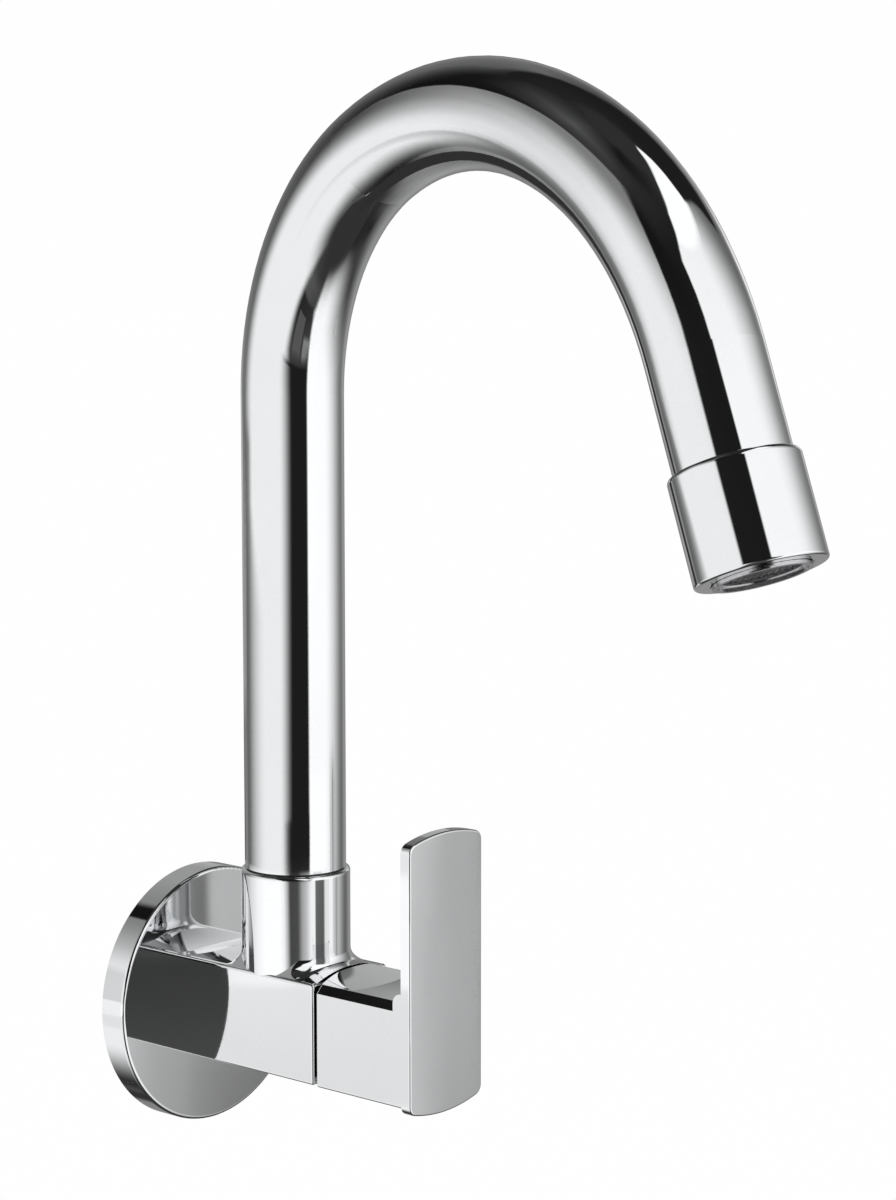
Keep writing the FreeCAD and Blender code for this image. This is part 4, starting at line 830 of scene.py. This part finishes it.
turning_lines, given, result = group(
    "turning_lines", [("Axis", VECTOR, (0.0, 1.0, 0.0)), ("Feed", FLOAT, 0.0003)], ["Height"])
place = add(turning_lines, "ShaderNodeTexCoord")
along = add(turning_lines, "ShaderNodeVectorMath", operation="DOT_PRODUCT")
feed(turning_lines, place.outputs["Object"], along.inputs[0])
feed(turning_lines, given["Axis"], along.inputs[1])
turns = calc(turning_lines, "DIVIDE", along.outputs["Value"], given["Feed"])
wander = calc(turning_lines, "MULTIPLY", noise(turning_lines, WANDER_SCALE, Detail=2.0), WANDER_TURNS)
angle = calc(turning_lines, "MULTIPLY", calc(turning_lines, "ADD", turns, wander), 2.0 * pi)
wave = calc(turning_lines, "SINE", angle)
lifted = add(turning_lines, "ShaderNodeMapRange", Value=wave, From_Min=-1.0, From_Max=1.0)
feed(turning_lines, lifted.outputs["Result"], result["Height"])
print("group turning_lines")

# %% [markdown]
# **Fine grain.** Rubber, moulded plastic and fired ceramic all have a very small, even grain. One noise
# at the grain's own size gives it as a height, and as a mask for small changes of colour.

# %% Fine grain
fine_grain, given, result = group("fine_grain", [("Size", FLOAT, 0.0004)], ["Height", "Mask"])
grain = noise(fine_grain, calc(fine_grain, "DIVIDE", 1.0, given["Size"]), Detail=4.0, Roughness=0.55)
spread = add(fine_grain, "ShaderNodeMapRange", Value=grain, From_Min=0.3, From_Max=0.7)
feed(fine_grain, grain, result["Height"])
feed(fine_grain, spread.outputs["Result"], result["Mask"])
print("group fine_grain")

# %% [markdown]
# ## Helpers for the finishes
#
# A placed group gets its own values. A ramp between two colours, and a range between two roughness
# values, both driven by a mask, come back in every finish.


# %% Place a group, a colour ramp and a range
def placed(tree, which, **values):
    return add(tree, "ShaderNodeGroup", node_tree=which, **values).outputs


def colour_between(tree, mask, first, second):
    """A colour that goes from the first to the second as the mask goes from 0 to 1."""
    mix = add(tree, "ShaderNodeMix", data_type="RGBA", A=(*first, 1.0), B=(*second, 1.0), Factor=mask)
    return mix.outputs["Result"]


def between(tree, mask, low, high):
    """A number that goes from low to high as the mask goes from 0 to 1."""
    return add(tree, "ShaderNodeMapRange", Value=mask, To_Min=low, To_Max=high).outputs["Result"]


def bump(tree, height, distance):
    """Turns a height into a change of the surface's slope. Distance is the height of its hills in metres."""
    return add(tree, "ShaderNodeBump", Strength=1.0, Distance=distance, Height=height).outputs["Normal"]


def shiny(tree, colour, roughness, normal, metallic):
    return add(tree, "ShaderNodeBsdfPrincipled", Base_Color=colour, Roughness=roughness, Normal=normal,
               Metallic=metallic)


# %% [markdown]
# ## Chrome plate
#
# Everything that shows is brass with a bright chrome plate. Chrome mirrors a little over four fifths of
# the light, with a trace of blue. A metal's Base Color is what it mirrors, so it is that pale grey and
# not white. Roughness stays near zero, and goes up slightly in the haze.

# %% Chrome plate
CHROME = (0.84, 0.847, 0.855)
CHROME_DULL = (0.815, 0.822, 0.83)
SATIN_BRIGHT = (0.60, 0.60, 0.61)
SATIN_DARK = (0.50, 0.50, 0.51)
CHROME_PATCH = 0.018


def chrome(name, waves, rough, bright=CHROME, dim=CHROME_DULL):
    """Waves are a size and a depth. Rough is the roughness where it is clear and where it is hazy."""
    material, tree = blank_material(name)
    cloud = placed(tree, haze, Patch_Size=CHROME_PATCH, Amount=1.0)["Mask"]
    swell = placed(tree, polish_waves, Size=waves[0])["Height"]
    metal = shiny(tree, colour_between(tree, cloud, bright, dim), between(tree, cloud, *rough),
                  bump(tree, swell, waves[1]), 1.0)
    return show(material, metal)


chrome_tube = chrome("chrome_tube", waves=(0.03, 0.00004), rough=(0.025, 0.05))
chrome_cast = chrome("chrome_cast", waves=(0.02, 0.00005), rough=(0.035, 0.07))
chrome_flange = chrome("chrome_flange", waves=(0.03, 0.00003), rough=(0.03, 0.06))
chrome_plastic = chrome("chrome_plastic", waves=(0.008, 0.00003), rough=(0.06, 0.12))
satin_nickel = chrome("satin_nickel", (0.008, 0.00003), (0.14, 0.22), SATIN_BRIGHT, SATIN_DARK)
print("chrome finishes made")

# %% [markdown]
# ## Machined brass and steel
#
# The parts inside, and the inlet's thread, are plain brass from the lathe. Fine turning lines run round
# each one, and haze makes it bright in places and a little browner in others. Screws, the clip and the
# screen's wire are steel, made in the same way. The wire's colours are painted darker than steel: painted
# shade, for the shade that its mesh lies in.

# %% Machined brass and steel
ALONG_VALVE = (0.0, 1.0, 0.0)
UPRIGHT = (0.0, 0.0, 1.0)
OUTLET_AXIS = (-0.078221, -0.368003, -0.926529)
GROOVE_DEPTH = 0.000006
TURNED_PATCH = 0.006
BRASS = {"feed": 0.00025, "bright": (0.80, 0.62, 0.33), "dark": (0.62, 0.44, 0.20), "rough": (0.2, 0.38)}
STEEL = {"feed": 0.00015, "bright": (0.60, 0.60, 0.61), "dark": (0.42, 0.42, 0.43), "rough": (0.22, 0.4)}
# The wire's two colours are steel darkened with painted shade.
WIRE_IN_PAINTED_SHADE = {"feed": 0.0002, "bright": (0.24, 0.24, 0.245), "dark": (0.13, 0.13, 0.135), "rough": (0.28, 0.42)}


def turned_metal(name, axis, feed, bright, dark, rough):
    material, tree = blank_material(name)
    cloud = placed(tree, haze, Patch_Size=TURNED_PATCH, Amount=1.0)["Mask"]
    lines = placed(tree, turning_lines, Axis=axis, Feed=feed)["Height"]
    metal = shiny(tree, colour_between(tree, cloud, bright, dark), between(tree, cloud, *rough),
                  bump(tree, lines, GROOVE_DEPTH), 1.0)
    return show(material, metal)


brass_along_valve = turned_metal("brass_along_valve", ALONG_VALVE, **BRASS)
brass_upright = turned_metal("brass_upright", UPRIGHT, **BRASS)
brass_along_outlet = turned_metal("brass_along_outlet", OUTLET_AXIS, **BRASS)
steel_upright = turned_metal("steel_upright", UPRIGHT, **STEEL)
steel_along_valve = turned_metal("steel_along_valve", ALONG_VALVE, **STEEL)
screen_wire_painted_shade = turned_metal("screen_wire_painted_shade", OUTLET_AXIS, **WIRE_IN_PAINTED_SHADE)
print("brass and steel finishes made")

# %% [markdown]
# ## Rubber, plastics and ceramic
#
# These aren't metals, so their Base Color is the colour of the stuff itself, and the shine on top is
# white. Rubber is dull with a bloom of grey. Plastic is smoother. The ceramic discs are lapped so flat
# that they shine like glass.

# %% Grained finishes
GRAINED_PATCH = 0.005


def grained(name, light, dark, grain, rough):
    """Grain is its size and its height. Rough is the least and the greatest roughness."""
    material, tree = blank_material(name)
    cloud = placed(tree, haze, Patch_Size=GRAINED_PATCH, Amount=1.0)["Mask"]
    grains = placed(tree, fine_grain, Size=grain[0])
    stuff = shiny(tree, colour_between(tree, cloud, dark, light), between(tree, grains["Mask"], *rough),
                  bump(tree, grains["Height"], grain[1]), 0.0)
    return show(material, stuff)


black_rubber = grained("black_rubber", (0.05, 0.05, 0.052), (0.022, 0.022, 0.024),
                       grain=(0.0003, 0.00001), rough=(0.45, 0.65))
dark_plastic = grained("dark_plastic", (0.055, 0.055, 0.058), (0.032, 0.032, 0.035),
                       grain=(0.0004, 0.000006), rough=(0.3, 0.45))
white_plastic = grained("white_plastic", (0.84, 0.84, 0.82), (0.76, 0.76, 0.73),
                        grain=(0.0005, 0.000006), rough=(0.3, 0.42))
white_ceramic = grained("white_ceramic", (0.90, 0.89, 0.86), (0.84, 0.83, 0.79),
                        grain=(0.0002, 0.000002), rough=(0.08, 0.16))
print("rubber, plastic and ceramic finishes made")

# %% [markdown]
# ## Give each part its finish
#
# A part that came with the tap keeps its mesh and gets its finish in its material slots.

# %% Which part gets which finish
FINISHES = [
    (chrome_flange, ["wall_flange"]),
    (chrome_cast, ["valve_body", "lever_handle"]),
    (chrome_tube, ["spout_tube", "aerator_shell"]),
    (chrome_plastic, ["lever_plug"]),
    (satin_nickel, ["aerator_cage"]),
    (brass_along_valve, ["bonnet", "spindle"]),
    (brass_upright, ["spout_spigot"]),
    (brass_along_outlet, ["outlet_bush"]),
    (steel_along_valve, ["spindle_clip", "spout_screw"]),
    (steel_upright, ["lever_screw"]),
    (black_rubber, ["flange_washer", "bonnet_ring", "seat_seal", "spindle_ring_inner", "spindle_ring_outer",
                    "spigot_ring_lower", "spigot_ring_upper", "aerator_washer"]),
    (white_ceramic, ["fixed_disc", "moving_disc"]),
    (white_plastic, ["thrust_washer", "aerator_spreader", "flow_core"]),
    (dark_plastic, ["spline_adapter", "spout_slip_ring"]),
]


def give(item, material):
    """Every material slot of the part takes this material."""
    slots = item.data.materials
    if not slots:
        slots.append(material)
    for index in range(len(slots)):
        slots[index] = material


for material, names in FINISHES:
    for name in names:
        give(nodes[name], material)
print(sum(len(names) for material, names in FINISHES), "parts finished")

# %% [markdown]
# ## The inlet's thread
#
# The tap screws into a half inch pipe fitting in the wall. The solid has ring shaped ridges there, which
# is enough to work with but not what a thread is: one ridge that winds along the shank. A thread is made
# by walking round and round the shank while moving along it, one pitch for each turn, and drawing the
# ridge's profile at each step. The profile is repeated along the shank, and a point's place in it depends
# on how far round it is, so the whole shank is one grid of points wrapped into a tube.

# %% The thread's sizes
THREAD_RADIUS = 0.0104775
THREAD_DEPTH = 0.001162
THREAD_ROOT = THREAD_RADIUS - THREAD_DEPTH
THREAD_PITCH = 0.001814
THREAD_CREST = 0.000302
THREAD_END = 0.014
THREAD_START = -0.0035
THREAD_AROUND = 144
THREAD_STEPS = 14
FADE_TURNS = 2.0


def ridge(share):
    """The thread's height at a share of one pitch: a flat crest, two flanks and a flat root."""
    crest = THREAD_CREST / THREAD_PITCH / 2.0
    share = abs((share + 0.5) % 1.0 - 0.5)
    if share < crest:
        return 1.0
    return max(0.0, 1.0 - (share - crest) / (0.5 - 2.0 * crest))


print("ridge heights", [round(ridge(step / 8), 2) for step in range(9)])


# %% Wind the thread
def ring_point(step, radius, along):
    """A point on a ring about the inlet's axis."""
    turn = 2.0 * pi * step / THREAD_AROUND
    return (radius * cos(turn), along, radius * sin(turn))


def between_rings(first, second):
    """The faces between two rings of points, given by where each ring starts."""
    nexts = [(step + 1) % THREAD_AROUND for step in range(THREAD_AROUND)]
    return [(first + step, second + step, second + other, first + other) for step, other in enumerate(nexts)]


# The ridge fades in at its start, and a bevel cuts its end.
thread_length = THREAD_END - THREAD_START
rings = int(thread_length / THREAD_PITCH * THREAD_STEPS)
last_ring = rings * THREAD_AROUND
points, faces = [], []
for ring in range(rings + 1):
    along = THREAD_START + thread_length * ring / rings
    bevel = THREAD_ROOT - THREAD_CREST + max(0.0, THREAD_END - along)
    fade = min(1.0, (along - THREAD_START) / (FADE_TURNS * THREAD_PITCH))
    for step in range(THREAD_AROUND):
        height = ridge(along / THREAD_PITCH - step / THREAD_AROUND) * THREAD_DEPTH * fade
        points.append(ring_point(step, min(THREAD_ROOT + height, bevel), along))
for start in range(0, last_ring, THREAD_AROUND):
    faces += between_rings(start, start + THREAD_AROUND)
print("thread points", len(points))

# %% [markdown]
# The shank's far end closes with a flat ring, and its bore runs back through the tap's body. These join
# the same mesh, ring by ring, so the piece is one closed skin.

# %% Close the shank
SEAT_START = -0.0074
SEAT_RADIUS = 0.0092
SHANK_BORE = 0.006

shank_low, shank_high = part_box("inlet_shank")
previous = 0
for radius, along in [(THREAD_ROOT, SEAT_START), (SEAT_RADIUS, SEAT_START), (SEAT_RADIUS, shank_low.y),
                      (SHANK_BORE, shank_low.y), (SHANK_BORE, THREAD_END)]:
    current = len(points)
    points += [ring_point(step, radius, along) for step in range(THREAD_AROUND)]
    faces += between_rings(current, previous)
    previous = current
faces += between_rings(last_ring, previous)

inlet_thread = made_of("inlet_thread", points, faces, brass_along_valve)
inlet_thread.data.validate()
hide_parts("inlet_shank")
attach(inlet_thread, "tap_body")
print("inlet thread box", [round(v, 5) for v in shank_low], [round(v, 5) for v in shank_high])

# %% [markdown]
# ## The screen at the mouth
#
# A fine steel screen lies across the aerator's mouth. The solid is a disc with round holes. The real one
# is woven from wire, each wire passing over and under its neighbours. Every wire is a thin tube along a
# wavy line, cut off at the rim. Two sets of wires at right angles, with the waves half a step apart, make
# the weave.

# %% Find the outlet
outlet_axis = Vector(OUTLET_AXIS).normalized()
screen_points = [v.co.copy() for v in nodes["aerator_screen"].data.vertices]
along = [p.dot(outlet_axis) for p in screen_points]
screen_middle = sum(screen_points, Vector()) / len(screen_points)
screen_middle += outlet_axis * ((min(along) + max(along)) / 2.0 - screen_middle.dot(outlet_axis))
from_middle = [p - screen_middle for p in screen_points]
screen_radius = max((p - outlet_axis * p.dot(outlet_axis)).length for p in from_middle)
screen_height = max(along) - min(along)
print("screen radius", round(screen_radius, 5), "height", round(screen_height, 5))

# %% Weave the screen
WIRE_PITCH = 0.00095
WIRE_RADIUS = 0.00016
WIRE_SIDES = 6
WIRE_STEPS = 4
RIM_GAP = 0.0002

side = outlet_axis.cross(Vector((1.0, 0.0, 0.0))).normalized()
across = outlet_axis.cross(side).normalized()
inside = screen_radius - RIM_GAP
wire_lift = min(WIRE_RADIUS, screen_height / 2.0 - WIRE_RADIUS)
weave_points, weave_faces = [], []


def wire(origin, direction, length, phase):
    """One wavy wire as a thin tube."""
    steps = max(WIRE_STEPS, int(length / WIRE_PITCH * WIRE_STEPS))
    other = outlet_axis.cross(direction).normalized()
    first = len(weave_points)
    for step in range(steps + 1):
        reach = -length / 2.0 + length * step / steps
        height = wire_lift * cos(pi * reach / WIRE_PITCH + phase)
        centre = origin + direction * reach + outlet_axis * height
        for corner in range(WIRE_SIDES):
            turn = 2.0 * pi * corner / WIRE_SIDES
            rim = other * (WIRE_RADIUS * cos(turn)) + outlet_axis * (WIRE_RADIUS * sin(turn))
            weave_points.append(tuple(centre + rim))
    for step in range(steps):
        for corner in range(WIRE_SIDES):
            a = first + step * WIRE_SIDES + corner
            b = first + step * WIRE_SIDES + (corner + 1) % WIRE_SIDES
            weave_faces.append((a, b, b + WIRE_SIDES, a + WIRE_SIDES))


count = int(inside / WIRE_PITCH)
for line in range(-count, count + 1):
    offset = line * WIRE_PITCH
    length = 2.0 * sqrt(max(0.0, inside**2 - offset**2))
    if length < 2.0 * WIRE_PITCH:
        continue
    phase = pi if line % 2 else 0.0
    wire(screen_middle + across * offset, side, length, phase)
    wire(screen_middle + side * offset, across, length, phase + pi)

# The wire's finish has painted shade in its colour.
woven_screen = made_of("woven_screen", weave_points, weave_faces, screen_wire_painted_shade)
for polygon in woven_screen.data.polygons:
    polygon.use_smooth = True
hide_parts("aerator_screen")
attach(woven_screen, "spout")
print("woven screen", len(weave_faces), "faces")
